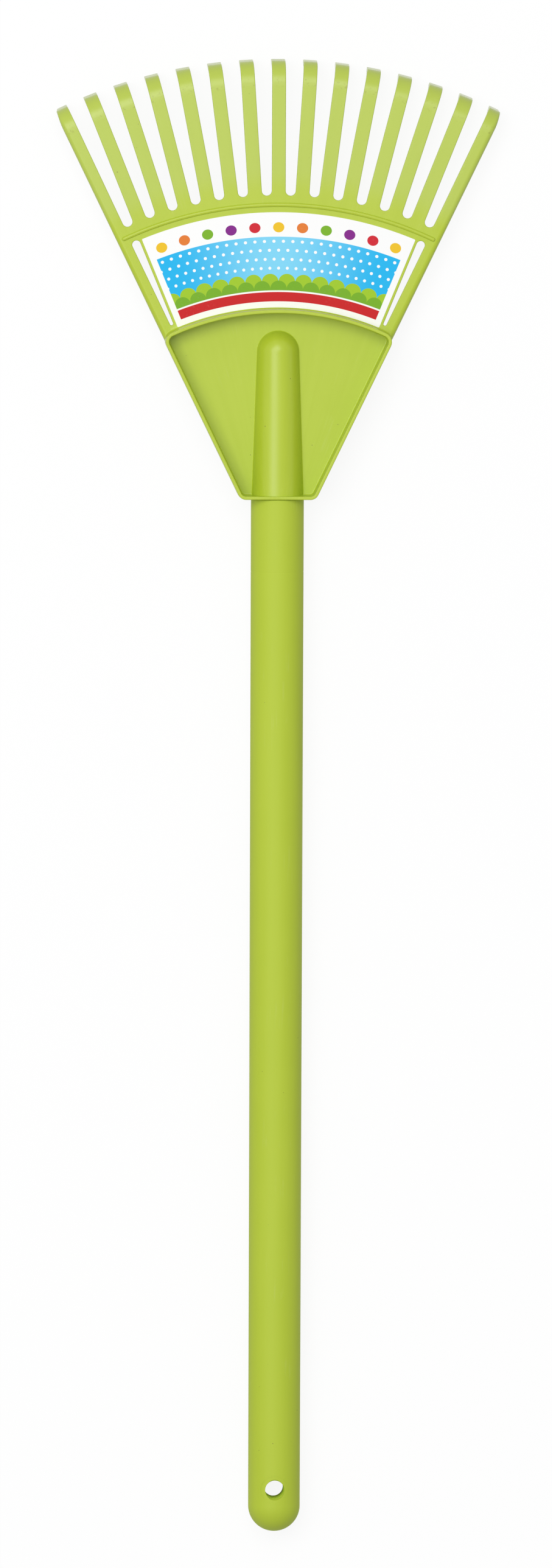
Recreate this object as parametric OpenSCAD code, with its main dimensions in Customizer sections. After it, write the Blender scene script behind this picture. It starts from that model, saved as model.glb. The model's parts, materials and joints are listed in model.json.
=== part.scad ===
// Child's fan rake lying on the ground, label side up: a moulded head whose tines flex one by one,
// a hollow handle whose spigot is held in the head's socket by one screw, and a stuck-on label.
// +Y runs from the handle's end to the tines, +Z out of the labelled face, and the ground is z = 0.

/* [Fan of tines] */
// Number of tines, an odd number so that one lies on the centre line
tine_count = 15; // [5:2:19]
// Angle from one tine to the next, in degrees
tine_pitch_deg = 3.63; // [3.4:0.01:4.2]
// Width of a tine
tine_w = 6.8; // [5:0.1:8]
// Radius from the fan's centre to the bottom of the gaps between the tines
gap_root_r = 183; // [175:0.5:195]
// Distance from the bottom of the gaps to the outer face of the hooks
tine_reach = 66.5; // [45:0.5:95]
// Thickness of the plate and of the tines
plate_t = 2.5; // [2:0.1:3.2]
// Distance from the bottom of the gaps to the line where a tine starts to flex
flex_offset = 4; // [3:0.1:8]
// Clearance round the flexing end of a tine
flex_clearance = 0.3; // [0.2:0.05:0.5]

/* [Hooks] */
// Height of the plate's top over the tips of the hooks
hook_depth = 18; // [15:0.5:24]
// Radius of the bend, on its outer face
hook_bend_r = 10.5; // [6:0.5:11]
// Angle of the bend, in degrees
hook_deg = 86; // [70:1:88]
// Thickness of a hook at its tip
hook_tip_t = 1.5; // [1:0.1:2]
// How far an outermost tine is drawn in from the line of the side edge at its tip
tip_draw_in = 1.7; // [0:0.1:3]

/* [Head plate] */
// How much wider than the outermost tine's own angle the side edges open, in degrees
edge_flare_deg = 0.44; // [0:0.02:1]
// Depth of the flange turned down along each side edge
flange_depth = 6; // [4:0.5:6]
// Thickness of that flange
flange_t = 2; // [1.4:0.1:3]
// Gap in the flange at the line where the outermost tine flexes, on each side of the line
flange_relief = 1.6; // [1.5:0.1:3]
// Distance from the bottom of the gaps to the arched rib
rib_inset = 4.5; // [3:0.1:8]
// Width of the arched rib, which is half round
rib_w = 2.1; // [1.5:0.1:3]
// Width of the rail between a side slot and the side edge
rail_w = 5.8; // [4:0.1:8]
// Distance from the arched rib to a side slot
slot_rib_gap = 5.2; // [4:0.1:12]
// Distance from the dish to a side slot
slot_dish_gap = 3.4; // [2:0.1:12]
// Width of a side slot at its round end near the tines
slot_top_w = 4.2; // [3:0.1:5]
// Width of a side slot at its end near the dish
slot_bottom_w = 1.6; // [1:0.1:2.5]

/* [Dish] */
// Radius from the fan's centre to the outside of the dish's arched wall
dish_r = 127.5; // [122:0.5:128]
// Height over the fan's centre of the dish's lower lip, where the handle butts against it
lip_y = 33.8; // [28:0.2:40]
// Thickness of the dish's wall
dish_wall = 2; // [1.4:0.1:3]
// How far the dish's wall stands out past the plate's side edge
dish_proud = 0.45; // [0:0.05:1]
// Height of the dish's rim over the plate's top
rim_rise = 9; // [6:0.5:12]
// Depth of the dish's floor under the plate's top
floor_drop = 3; // [1:0.5:5]
// Thickness of the dish's floor
floor_t = 2.5; // [1.6:0.1:4]
// Outer corner radius of the dish beside the label
dish_top_corner_r = 5; // [3.5:0.5:8]
// Outer corner radius of the dish beside the handle
dish_bottom_corner_r = 4.4; // [3.2:0.2:8]

/* [Socket] */
// Outer diameter of the socket at its mouth
socket_mouth_d = 25.4; // [23:0.2:26]
// Outer diameter of the socket where its round end begins
socket_shoulder_d = 21.5; // [18:0.5:23]
// Distance from the outside of the dish's arched wall to the tip of the socket's round end
socket_dish_gap = 10.9; // [6:0.1:24]
// Radius of the round end's shoulder
socket_nose_r = 8.5; // [5:0.5:9]
// Thickness of the socket's wall
socket_wall = 2.1; // [1.5:0.1:2.6]

/* [Handle] */
// Length of the handle from the head to the tip of its round end
handle_len = 508.8; // [350:1:700]
// Diameter of the handle beside the head
handle_head_d = 26; // [25.4:0.1:30]
// Diameter of the handle at its round end
handle_end_d = 25.4; // [22:0.1:26]
// Thickness of the hollow handle's wall
handle_wall = 2.6; // [2:0.1:4]
// Distance from the tip of the socket's round end to the end of the spigot inside it
spigot_end_gap = 12.8; // [10.8:0.1:24.8]
// Thickness of the spigot's wall
spigot_wall = 2.2; // [1.6:0.1:3]
// Clearance between the spigot and the socket
spigot_clearance = 0.12; // [0.05:0.01:0.3]
// Diameter of the hanging hole
hang_hole_d = 9.6; // [6:0.1:12]
// Distance from the handle's tip to the centre of the hanging hole
hang_hole_inset = 21.1; // [16:0.1:40]
// Diameter of the dimple round the hanging hole
dimple_d = 13.7; // [12.4:0.1:16]
// Depth of that dimple
dimple_depth = 1.6; // [0.8:0.1:2.5]
// Solid length between the hanging hole and the hollow
hang_web = 7; // [4:0.5:15]

/* [Label] */
// Thickness of the label
label_t = 0.2; // [0.1:0.05:0.4]
// Strip left bare between the label and a side slot
label_slot_gap = 1.3; // [0.5:0.1:3]
// Strip left bare between the label and the dish
label_dish_gap = 0.6; // [0.2:0.1:3]
// Strip left bare between the label and the arched rib
label_rib_gap = 2.6; // [1:0.1:6]

/* [Fixing screw] */
// Distance from the end of the spigot to the screw
screw_inset = 24; // [20:1:40]
// Diameter of the screw's countersunk head
screw_head_d = 7; // [5:0.5:8]
// Height of that head
screw_head_h = 2.2; // [1.5:0.1:2.8]
// Diameter of the screw's shank
screw_shank_d = 3.2; // [2.5:0.1:4]
// Length of the screw
screw_len = 9; // [7:0.5:10]
// Diameter of the pad that the screw's head sinks into
screw_pad_d = 10.4; // [9:0.2:14]
// Height of that pad's face over the ground
screw_pad_lift = 0.5; // [0.3:0.1:1]
// Clearance round the screw
screw_clearance = 0.05; // [0.02:0.01:0.1]
// Width of the screw's cross recess
recess_w = 0.9; // [0.6:0.1:1.2]
// Length of the screw's cross recess
recess_len = 3.8; // [2.5:0.1:4]
// Depth of the screw's cross recess
recess_depth = 1.2; // [0.6:0.1:1.4]

/* [Hidden] */
$fn = 96;
// How far a cut runs past the face that it opens
overrun = 1;
// Steps in each rounded corner, in a hook's bend and in each long arc of an outline
corner_steps = 6;
bend_steps = 10;
arc_steps = 18;
lime = "#BBCE52";

// Heights over the ground
plate_top_z = hook_depth;
plate_mid_z = plate_top_z - plate_t / 2;
rim_z = plate_top_z + rim_rise;
floor_z = plate_top_z - floor_drop;
axis_z = handle_head_d / 2;

// Radii from the fan's centre, to the hooks' outer faces, the rib and the two ends of a side slot
tip_r = gap_root_r + tine_reach;
rib_r = gap_root_r - rib_inset;
slot_top_r = rib_r - slot_rib_gap;
slot_bottom_r = dish_r + slot_dish_gap;

// Places along the rake, from the fan's centre
handle_end_y = lip_y - handle_len;
hang_hole_y = handle_end_y + hang_hole_inset;
socket_end_y = dish_r - socket_dish_gap;
spigot_end_y = socket_end_y - spigot_end_gap;
screw_y = spigot_end_y - screw_inset;
// The model's origin is on the ground at the middle of the rake's length
origin_shift_y = -(tip_r + handle_end_y) / 2;

// Angles of the tines, clockwise from the centre line, and of the head's side edges
function tine_deg(k) = (k - (tine_count + 1) / 2) * tine_pitch_deg;
outer_deg = tine_deg(tine_count);
edge_deg = outer_deg + edge_flare_deg;

// The tine's side profile: flat from the flex line to the bend, then round the bend to the tip
flex_r = gap_root_r + flex_offset;
hook_bend_drop = hook_bend_r * (1 - cos(hook_deg));
hook_end_len = (hook_depth - hook_bend_drop - hook_tip_t * cos(hook_deg)) / sin(hook_deg);
bend_start_r = tip_r - hook_bend_r * sin(hook_deg) - hook_end_len * cos(hook_deg);
bend_centre = [bend_start_r, plate_top_z - hook_bend_r];

// The gap between two tines: its edges run along the tines and its end is round
gap_end_share = sin(tine_pitch_deg / 2);
gap_end_centre_r = (gap_root_r - tine_w / 2) / (1 - gap_end_share);
gap_end_r = gap_end_centre_r - gap_root_r;
gap_mouth_r = tip_r + overrun;
gap_mouth_half_w = gap_mouth_r * tan(tine_pitch_deg / 2) - tine_w / 2 / cos(tine_pitch_deg / 2);

// Point at radius r on a line turned clockwise by deg, moved sideways to the right by side
function fan_point(r, deg, side = 0) = [r * sin(deg) + side * cos(deg), r * cos(deg) - side * sin(deg)];

// Half the head's width at height y, along a line that is inset from the side edge
edge_tip = fan_point(tip_r, outer_deg, tine_w / 2);
function side_x(y, inset = 0) = edge_tip.x + (y - edge_tip.y) * tan(edge_deg) - inset / cos(edge_deg);

// Points along an arc, from one angle to another
function arc_points(centre, r, from, to, steps) =
    [for (i = [0 : steps])
        let (deg = from + (to - from) * i / steps)
        centre + r * [cos(deg), sin(deg)]];

// Mirror image of an outline's right half, in the order that closes it
function mirrored(points) = [for (i = [len(points) - 1 : -1 : 0]) [-points[i].x, points[i].y]];

// Point where a line inset from the side edge meets the circle of radius r
function edge_point(r, inset) =
    let (x0 = side_x(0, inset), slope = tan(edge_deg), square = 1 + slope * slope)
    let (y = (sqrt(square * r * r - x0 * x0) - x0 * slope) / square)
    [side_x(y, inset), y];

// Right half of the dish's outline, inset from its outer face
function dish_half(inset) =
    let (r_top = dish_top_corner_r - inset, r_bottom = dish_bottom_corner_r - inset)
    let (side = inset - dish_proud, bottom_y = lip_y + inset + r_bottom)
    let (bottom = [side_x(bottom_y, side + r_bottom), bottom_y])
    let (top = edge_point(dish_r - inset - r_top, side + r_top))
    let (top_deg = atan2(top.y, top.x))
    concat(
        arc_points(bottom, r_bottom, -90, -edge_deg, corner_steps),
        arc_points(top, r_top, -edge_deg, top_deg, corner_steps),
        arc_points([0, 0], dish_r - inset, top_deg, 90, arc_steps)
    );

// Points of the right side slot: outer edge along the rail, inner edge beside the label
slot_low = edge_point(slot_bottom_r, rail_w);
slot_high = edge_point(slot_top_r, rail_w);
slot_inward = [-cos(edge_deg), sin(edge_deg)];
slot_inner_low = slot_low + slot_bottom_w * slot_inward;
slot_inner_high = slot_high + slot_top_w * slot_inward;

// Right edge of the label at height y, beside the slot
label_slope = (slot_inner_high.x - slot_inner_low.x) / (slot_inner_high.y - slot_inner_low.y);
label_side_gap = label_slot_gap * sqrt(1 + label_slope * label_slope);
function label_x(y) = slot_inner_low.x + (y - slot_inner_low.y) * label_slope - label_side_gap;
label_in_r = dish_r + label_dish_gap;
label_out_r = rib_r - rib_w / 2 - label_rib_gap;

// Radius of the socket's outside at height y, and of the taper that the spigot fits
shoulder_y = socket_end_y - socket_nose_r;
socket_taper = (socket_shoulder_d - socket_mouth_d) / 2 / (shoulder_y - lip_y);
function socket_radius(y) = socket_mouth_d / 2 + (y - lip_y) * socket_taper;
function bore_radius(y) = socket_radius(y) - socket_wall;
function spigot_radius(y) = bore_radius(y) - spigot_clearance;
// Radius of the handle's outside at height y
handle_taper = (handle_head_d - handle_end_d) / 2 / (lip_y - handle_end_y);
function handle_radius(y) = handle_end_d / 2 + (y - handle_end_y) * handle_taper;

// From the fan's centre to the model's origin
module placed() {
    translate([0, origin_shift_y, 0]) children();
}

// Turns a profile, drawn as radius and height, round the handle's axis
module turned() {
    translate([0, 0, axis_z]) rotate([-90, 0, 0]) rotate_extrude() children();
}

// Extrudes a profile, drawn as radius and height, across a tine
module across_tine(deg, width) {
    rotate([0, 0, -deg]) rotate([90, 0, 90]) linear_extrude(height = width, center = true) children();
}

// Everything between the head's two side edges
module fan_area() {
    half = [[side_x(lip_y), lip_y], [side_x(tip_r), tip_r]];
    polygon(concat(half, mirrored(half)));
}

// Strip along the inside of both side edges
module edge_strips() {
    strip = [
        [side_x(lip_y, flange_t), lip_y],
        [side_x(lip_y), lip_y],
        [side_x(tip_r), tip_r],
        [side_x(tip_r, flange_t), tip_r]
    ];
    polygon(strip);
    mirror([1, 0]) polygon(strip);
}

// All gaps between the tines
module tine_gaps() {
    for (k = [1 : tine_count - 1])
        rotate(-(tine_deg(k) + tine_pitch_deg / 2)) {
            translate([0, gap_end_centre_r]) circle(gap_end_r);
            polygon([
                [-gap_end_r, gap_end_centre_r],
                [gap_end_r, gap_end_centre_r],
                [gap_mouth_half_w, gap_mouth_r],
                [-gap_mouth_half_w, gap_mouth_r]
            ]);
        }
}

// The two side slots
module side_slots() {
    for (side = [0, 1])
        mirror([side, 0]) {
            polygon([slot_low, slot_high, slot_inner_high, slot_inner_low]);
            translate((slot_high + slot_inner_high) / 2) circle(slot_top_w / 2);
        }
}

// Flat plate with the stubs of the tines, whose ends are hollowed round the flex lines
module plate() {
    difference() {
        translate([0, 0, plate_top_z - plate_t])
            linear_extrude(height = plate_t)
                difference() {
                    intersection() {
                        fan_area();
                        circle(flex_r);
                    }
                    circle(dish_r - dish_wall / 2);
                    tine_gaps();
                    side_slots();
                }
        for (k = [1 : tine_count])
            rotate([0, 0, -tine_deg(k)])
                translate([0, flex_r, plate_mid_z])
                    rotate([0, 90, 0])
                        cylinder(h = tine_w + overrun, r = plate_t / 2 + flex_clearance, center = true);
    }
}

// Flanges turned down along the side edges, from the dish to the outermost tines
module side_flanges() {
    translate([0, 0, plate_top_z - flange_depth])
        linear_extrude(height = flange_depth)
            difference() {
                intersection() {
                    edge_strips();
                    circle(flex_r - flange_relief);
                }
                circle(dish_r - dish_wall / 2);
            }
}

// Half-round rib from one outermost tine to the other
module arched_rib() {
    translate([0, 0, plate_top_z])
        rotate([0, 0, 90 - outer_deg])
            rotate_extrude(angle = 2 * outer_deg)
                translate([rib_r, 0]) circle(rib_w / 2);
}

// Outline of the dish, inset from its outer face
module dish_outline(inset) {
    half = dish_half(inset);
    polygon(concat(half, mirrored(half)));
}

// Dish: a wall round a sunk floor
module dish() {
    translate([0, 0, floor_z - floor_t])
        difference() {
            linear_extrude(height = rim_z - floor_z + floor_t) dish_outline(0);
            translate([0, 0, floor_t])
                linear_extrude(height = rim_z - floor_z + overrun) dish_outline(dish_wall);
        }
}

// Outside of the socket, a tapered tube with a round end
module socket_form() {
    nose_centre = [socket_radius(shoulder_y) - socket_nose_r, shoulder_y];
    turned()
        polygon(concat(
            [[0, lip_y], [socket_radius(lip_y), lip_y]],
            arc_points(nose_centre, socket_nose_r, 0, 90, corner_steps),
            [[0, socket_end_y]]
        ));
    translate([0, screw_y, screw_pad_lift]) cylinder(h = axis_z - screw_pad_lift, d = screw_pad_d);
}

// Bore of the socket, which tapers with its outside and ends past the spigot
module socket_bore() {
    bore_end_y = spigot_end_y + overrun;
    turned()
        polygon([
            [0, lip_y - overrun],
            [bore_radius(lip_y - overrun), lip_y - overrun],
            [bore_radius(bore_end_y), bore_end_y],
            [0, bore_end_y]
        ]);
}

// Space that the screw takes up, grown by a clearance
module screw_form(clearance) {
    grown_head_d = screw_head_d + 2 * clearance;
    grown_shank_d = screw_shank_d + 2 * clearance;
    translate([0, screw_y, screw_pad_lift]) {
        cylinder(h = screw_head_h, d1 = grown_head_d, d2 = grown_shank_d);
        cylinder(h = screw_len, d = grown_shank_d);
    }
}

// Head: one moulding of plate, flanges, rib, dish and socket
module rake_head() {
    color(lime)
        placed()
            difference() {
                union() {
                    plate();
                    side_flanges();
                    arched_rib();
                    dish();
                    socket_form();
                }
                socket_bore();
                screw_form(screw_clearance);
            }
}

// Side profile of a tine: flat bar from the flex line, bend and tapered tip
module tine_profile() {
    outward = [sin(hook_deg), cos(hook_deg)];
    onward = [cos(hook_deg), -sin(hook_deg)];
    tip = bend_centre + hook_bend_r * outward + hook_end_len * onward;
    polygon(concat(
        [[flex_r, plate_top_z]],
        arc_points(bend_centre, hook_bend_r, 90, 90 - hook_deg, bend_steps),
        [tip, tip - hook_tip_t * outward],
        arc_points(bend_centre, hook_bend_r - plate_t, 90 - hook_deg, 90, bend_steps),
        [[flex_r, plate_top_z - plate_t]]
    ));
}

// Side profile of the flange under an outermost tine, which runs into the bend
module flange_profile() {
    start_r = flex_r + flange_relief;
    low_z = plate_top_z - flange_depth;
    into_bend_deg = min(hook_deg, acos(1 - flange_depth / hook_bend_r));
    polygon(concat(
        [[start_r, low_z], [start_r, plate_top_z]],
        arc_points(bend_centre, hook_bend_r, 90, 90 - into_bend_deg, bend_steps)
    ));
}

// Tine as extruded, with a round end that turns on the flex line
module tine_bar(deg) {
    across_tine(deg, tine_w) tine_profile();
    across_tine(deg, tine_w) translate([flex_r, plate_mid_z]) circle(d = plate_t - flex_clearance);
}

// Area of the outermost tines: along the side edges up to the bend, then drawn in to the tips
module outer_tine_area() {
    bend = edge_point(bend_start_r, 0);
    tip = edge_point(tip_r, tip_draw_in);
    half = [[side_x(lip_y), lip_y], bend, tip, [tip.x, tip_r]];
    polygon(concat(half, mirrored(half)));
}

// Tine number k, counted from the left; the outermost ones are flanged and trimmed along their outer edge
module tine(k) {
    outermost = k == 1 || k == tine_count;
    color(lime)
        placed()
            if (outermost) {
                intersection() {
                    union() {
                        tine_bar(tine_deg(k));
                        intersection() {
                            across_tine(tine_deg(k), tine_w) flange_profile();
                            linear_extrude(height = plate_top_z) edge_strips();
                        }
                    }
                    linear_extrude(height = plate_top_z) outer_tine_area();
                }
            } else {
                tine_bar(tine_deg(k));
            }
}

// Handle: hollow tube with a tapered spigot, a round end and a dimpled hanging hole
module handle() {
    end_r = handle_end_d / 2;
    hollow_end_y = hang_hole_y + dimple_d / 2 + hang_web;
    hollow_head_y = lip_y - handle_wall;
    dimple_cut_h = dimple_depth + overrun;
    dimple_cut_d = hang_hole_d + (dimple_d - hang_hole_d) * dimple_cut_h / dimple_depth;
    color(lime)
        placed()
            difference() {
                turned()
                    polygon(concat(
                        [
                            [spigot_radius(spigot_end_y) - spigot_wall, spigot_end_y],
                            [spigot_radius(spigot_end_y), spigot_end_y],
                            [spigot_radius(lip_y), lip_y],
                            [handle_radius(lip_y), lip_y]
                        ],
                        arc_points([0, handle_end_y + end_r], end_r, 0, -90, arc_steps),
                        [
                            [0, hollow_end_y],
                            [handle_radius(hollow_end_y) - handle_wall, hollow_end_y],
                            [handle_radius(hollow_head_y) - handle_wall, hollow_head_y],
                            [spigot_radius(lip_y) - spigot_wall, hollow_head_y]
                        ]
                    ));
                translate([0, hang_hole_y, axis_z]) {
                    cylinder(h = handle_head_d + 2 * overrun, d = hang_hole_d, center = true);
                    for (side = [0, 1])
                        mirror([0, 0, side])
                            translate([0, 0, end_r - dimple_depth])
                                cylinder(h = dimple_cut_h, d1 = hang_hole_d, d2 = dimple_cut_d);
                }
                screw_form(screw_clearance);
            }
}

// Label: thin arched sheet stuck to the plate between the rib and the dish
module label() {
    half = [[label_x(lip_y), lip_y], [label_x(tip_r), tip_r]];
    color("white")
        placed()
            translate([0, 0, plate_top_z])
                linear_extrude(height = label_t)
                    difference() {
                        intersection() {
                            polygon(concat(half, mirrored(half)));
                            circle(label_out_r);
                        }
                        circle(label_in_r);
                    }
}

// Countersunk screw through the back of the socket into the spigot
module fixing_screw() {
    color("silver")
        placed()
            difference() {
                screw_form(0);
                for (turn = [0, 90])
                    translate([0, screw_y, screw_pad_lift])
                        rotate([0, 0, turn])
                            cube([recess_len, recess_w, 2 * recess_depth], center = true);
            }
}

rake_head();
for (k = [1 : tine_count]) tine(k);
handle();
label();
fixing_screw();
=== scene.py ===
# %% [markdown]
# # A child's fan rake
# The real rake is a lime-green plastic head with fifteen springy tines, a hollow round handle pushed into
# its socket, and a printed label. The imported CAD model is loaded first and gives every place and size.
# The cells below then build each piece again with the soft edges, fillets and finish that a moulding has,
# in the same frame, so nothing has to be fitted afterwards.

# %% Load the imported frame
import json
import math

import bmesh
import bpy
from mathutils import Matrix, Vector
from mathutils.geometry import delaunay_2d_cdt


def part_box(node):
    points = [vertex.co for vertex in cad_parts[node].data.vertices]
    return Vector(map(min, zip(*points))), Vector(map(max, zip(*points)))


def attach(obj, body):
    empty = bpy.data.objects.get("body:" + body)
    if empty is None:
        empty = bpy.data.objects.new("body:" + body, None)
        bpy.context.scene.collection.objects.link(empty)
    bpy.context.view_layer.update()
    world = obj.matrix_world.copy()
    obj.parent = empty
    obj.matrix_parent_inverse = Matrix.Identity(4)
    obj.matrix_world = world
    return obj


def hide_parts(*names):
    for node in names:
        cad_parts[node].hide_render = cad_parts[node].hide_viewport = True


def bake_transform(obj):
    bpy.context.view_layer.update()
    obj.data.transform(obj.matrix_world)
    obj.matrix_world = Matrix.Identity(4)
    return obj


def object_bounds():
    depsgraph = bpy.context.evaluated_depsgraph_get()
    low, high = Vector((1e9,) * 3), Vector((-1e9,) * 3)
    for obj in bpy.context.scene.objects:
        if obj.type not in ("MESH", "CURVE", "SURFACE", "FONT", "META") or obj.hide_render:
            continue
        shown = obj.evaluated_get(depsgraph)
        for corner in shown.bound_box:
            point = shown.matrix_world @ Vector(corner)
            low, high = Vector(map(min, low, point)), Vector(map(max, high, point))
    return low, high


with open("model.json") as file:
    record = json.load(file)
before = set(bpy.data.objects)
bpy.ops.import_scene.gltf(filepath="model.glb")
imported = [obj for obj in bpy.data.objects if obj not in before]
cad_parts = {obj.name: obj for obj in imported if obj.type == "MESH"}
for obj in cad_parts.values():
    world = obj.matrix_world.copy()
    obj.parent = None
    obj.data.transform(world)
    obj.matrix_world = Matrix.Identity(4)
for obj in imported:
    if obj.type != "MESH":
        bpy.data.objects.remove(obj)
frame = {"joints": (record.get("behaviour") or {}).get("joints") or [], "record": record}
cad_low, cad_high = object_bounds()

print("CAD box:", [round(x, 4) for x in cad_low], [round(x, 4) for x in cad_high])

# %% [markdown]
# ## Where the fan is
# The tines spread from one point, the fan's centre, and each tine has a hinge in the frame. Reading the
# hinges gives the angle of every tine, the line where it flexes and the centre itself. That is safer than
# typing the places again, because the meshes then follow the frame.

# %% Read the fan from the hinges
mm = 0.001
hinge_of = {joint["child"]: joint for joint in frame["joints"]}
tine_names = sorted(hinge_of, key=lambda name: int(name.split("_")[1]))
tine_angles = [math.atan2(-hinge_of[name]["axis"][1], hinge_of[name]["axis"][0]) for name in tine_names]
outer_angle = tine_angles[-1]
tine_pitch = 2 * outer_angle / (len(tine_names) - 1)
outer_hinge = hinge_of[tine_names[-1]]["pos_m"]
flex_radius = outer_hinge[0] / math.sin(outer_angle)
fan_centre = Vector((0, outer_hinge[1] - flex_radius * math.cos(outer_angle), 0))
tip_radius = cad_high.y - fan_centre.y
plate_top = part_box("label")[0].z
plate_thickness = 2 * (plate_top - outer_hinge[2])
print("fan centre y", round(fan_centre.y / mm, 2), "mm, tines flex at", round(flex_radius / mm, 2), "mm")


# %% Helpers for outlines
def spread(start, end, steps):
    """Evenly spaced values from start to end, both included."""
    return [start + (end - start) * i / steps for i in range(steps + 1)]


def fan_point(radius, angle, side=0.0):
    """Point at a radius on a line turned clockwise by an angle, moved sideways to the right."""
    x = radius * math.sin(angle) + side * math.cos(angle)
    y = radius * math.cos(angle) - side * math.sin(angle)
    return Vector((x, y))


def lifted(point, z):
    """A flat point at a height."""
    return Vector((point.x, point.y, z))


def arc(centre, radius, start, end, steps):
    """Points along an arc, both ends included, with angles counted from +X."""
    turns = spread(start, end, steps)
    return [Vector((centre[0] + radius * math.cos(t), centre[1] + radius * math.sin(t))) for t in turns]


def mirrored(points):
    """The same outline on the left side, in the order that keeps its direction."""
    return [Vector((-p.x, p.y)) for p in reversed(points)]


def ease(value, low, high):
    """Smooth step from 0 at low to 1 at high."""
    share = min(1.0, max(0.0, (value - low) / (high - low)))
    return share * share * (3 - 2 * share)


def rounding_shares(steps):
    """Pairs along a quarter circle: the first share falls from 1 to 0 while the second rises from 0 to 1."""
    return [(1 - math.sin(t), 1 - math.cos(t)) for t in spread(0.0, math.pi / 2, steps)]


# %% Helpers for meshes
weld_distance = 0.001 * mm


def weld(mesh):
    """Merges points that lie on each other, drops faces without an area and turns the others outwards."""
    made = bmesh.new()
    made.from_mesh(mesh)
    bmesh.ops.remove_doubles(made, verts=made.verts, dist=weld_distance)
    bmesh.ops.dissolve_degenerate(made, edges=made.edges, dist=weld_distance)
    bmesh.ops.recalc_face_normals(made, faces=made.faces)
    made.to_mesh(mesh)
    made.free()


def new_object(name, points, faces):
    """Object whose points are measured from the fan's centre."""
    mesh = bpy.data.meshes.new(name)
    mesh.from_pydata([Vector(p) + fan_centre for p in points], [], faces)
    weld(mesh)
    obj = bpy.data.objects.new(name, mesh)
    bpy.context.collection.objects.link(obj)
    return obj


def loose_edges(obj):
    """How many edges don't join exactly two faces: none on a closed mesh."""
    made = bmesh.new()
    made.from_mesh(obj.data)
    count = sum(1 for edge in made.edges if len(edge.link_faces) != 2)
    made.free()
    return count


def tell(title, obj):
    """Prints what an object is made of."""
    print(title + ":", len(obj.data.polygons), "faces,", loose_edges(obj), "loose edges")


# %% Helpers for solids
round_segments = 96
sideways = Vector((1, 0, 0))


def loft(name, rings):
    """Closed solid through rings that have the same number of points."""
    count = len(rings[0])
    points = [p for ring in rings for p in ring]
    faces = [list(range(count)), list(range(len(points) - count, len(points)))]
    for level in range(len(rings) - 1):
        for i in range(count):
            here = level * count + i
            beside = level * count + (i + 1) % count
            faces.append([here, beside, beside + count, here + count])
    return new_object(name, points, faces)


def turned(name, profile, origin, axis, segments=round_segments):
    """Closed solid turned from pairs of radius and distance along the axis, which start and end on it."""
    third = axis.cross(sideways)
    points = []
    rings = []
    for radius, along in profile:
        turns = spread(0.0, 2 * math.pi, segments)[:-1] if radius else [0.0]
        rings.append([len(points) + i for i in range(len(turns))])
        for t in turns:
            points.append(origin + axis * along + (sideways * math.cos(t) + third * math.sin(t)) * radius)
    faces = []
    for ring, following in zip(rings, rings[1:]):
        for i in range(segments):
            j = (i + 1) % segments
            face = [ring[i % len(ring)], ring[j % len(ring)]]
            face += [following[j % len(following)], following[i % len(following)]]
            faces.append(list(dict.fromkeys(face)))
    return new_object(name, points, faces)


# %% Helpers for joining and shading
sharp_angle = math.radians(35)


def combine(target, tool, operation):
    """Applies one exact boolean and removes the tool."""
    modifier = target.modifiers.new("combine", "BOOLEAN")
    modifier.operation = operation
    modifier.solver = "EXACT"
    modifier.object = tool
    graph = bpy.context.evaluated_depsgraph_get()
    mesh = bpy.data.meshes.new_from_object(target.evaluated_get(graph))
    weld(mesh)
    target.modifiers.clear()
    old_mesh = target.data
    target.data = mesh
    bpy.data.meshes.remove(old_mesh)
    bpy.data.objects.remove(tool)


def soften(obj):
    """Smooth shading that stays flat on flat faces and keeps sharp edges crisp."""
    obj.data.polygons.foreach_set("use_smooth", [True] * len(obj.data.polygons))
    obj.data.set_sharp_from_angle(angle=sharp_angle)
    weighted = obj.modifiers.new("flat faces stay flat", "WEIGHTED_NORMAL")
    weighted.keep_sharp = True


# %% [markdown]
# ## The plate
# The flat part of the head is one sheet of plastic: round-ended gaps part the tines, two slots lighten
# its sides, and its side edges are rolled over and turned down as flanges. An extruded outline with a
# Bevel modifier would round every edge alike. Here each edge of the outline carries its own profile of
# rings instead, a small rounding in the gaps and a large one with the flange on the sides, and the stubs
# of the tines get no rounding where the tines go on.

# %% Sizes of the plate
tine_width = 6.8 * mm
gap_root_radius = 183 * mm
edge_flare = math.radians(0.44)
edge_angle = outer_angle + edge_flare
edge_tip = fan_point(tip_radius, outer_angle, tine_width / 2)
gap_end_share = math.sin(tine_pitch / 2)
gap_end_centre = (gap_root_radius - tine_width / 2) / (1 - gap_end_share)
gap_end_radius = gap_end_centre - gap_root_radius
gap_end_steps = 16
dish_radius = 127.5 * mm
plate_overlap = 12 * mm
plate_foot_radius = dish_radius - plate_overlap
plate_foot_steps = 12
print("gap between tines at its end:", round(2 * gap_end_radius / mm, 2), "mm")


# %% Helpers for the side edges
def side_x(y, inset=0.0):
    """Half the head's width at height y, along a line inset from the side edge."""
    return edge_tip.x + (y - edge_tip.y) * math.tan(edge_angle) - inset / math.cos(edge_angle)


def line_on_circle(radius, foot_x, slope):
    """Height y where the line x = foot_x + slope y meets a circle round the fan's centre."""
    square = 1 + slope * slope
    return (math.sqrt(square * radius * radius - foot_x * foot_x) - foot_x * slope) / square


def edge_point(radius, inset=0.0):
    """Point where a line inset from the side edge meets a circle round the fan's centre."""
    y = line_on_circle(radius, side_x(0.0, inset), math.tan(edge_angle))
    return Vector((side_x(y, inset), y))


def outer_side(along):
    """Distance from an outermost tine's centre line to the side edge."""
    return tine_width / 2 - (tip_radius - along) * math.tan(edge_flare)


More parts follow.
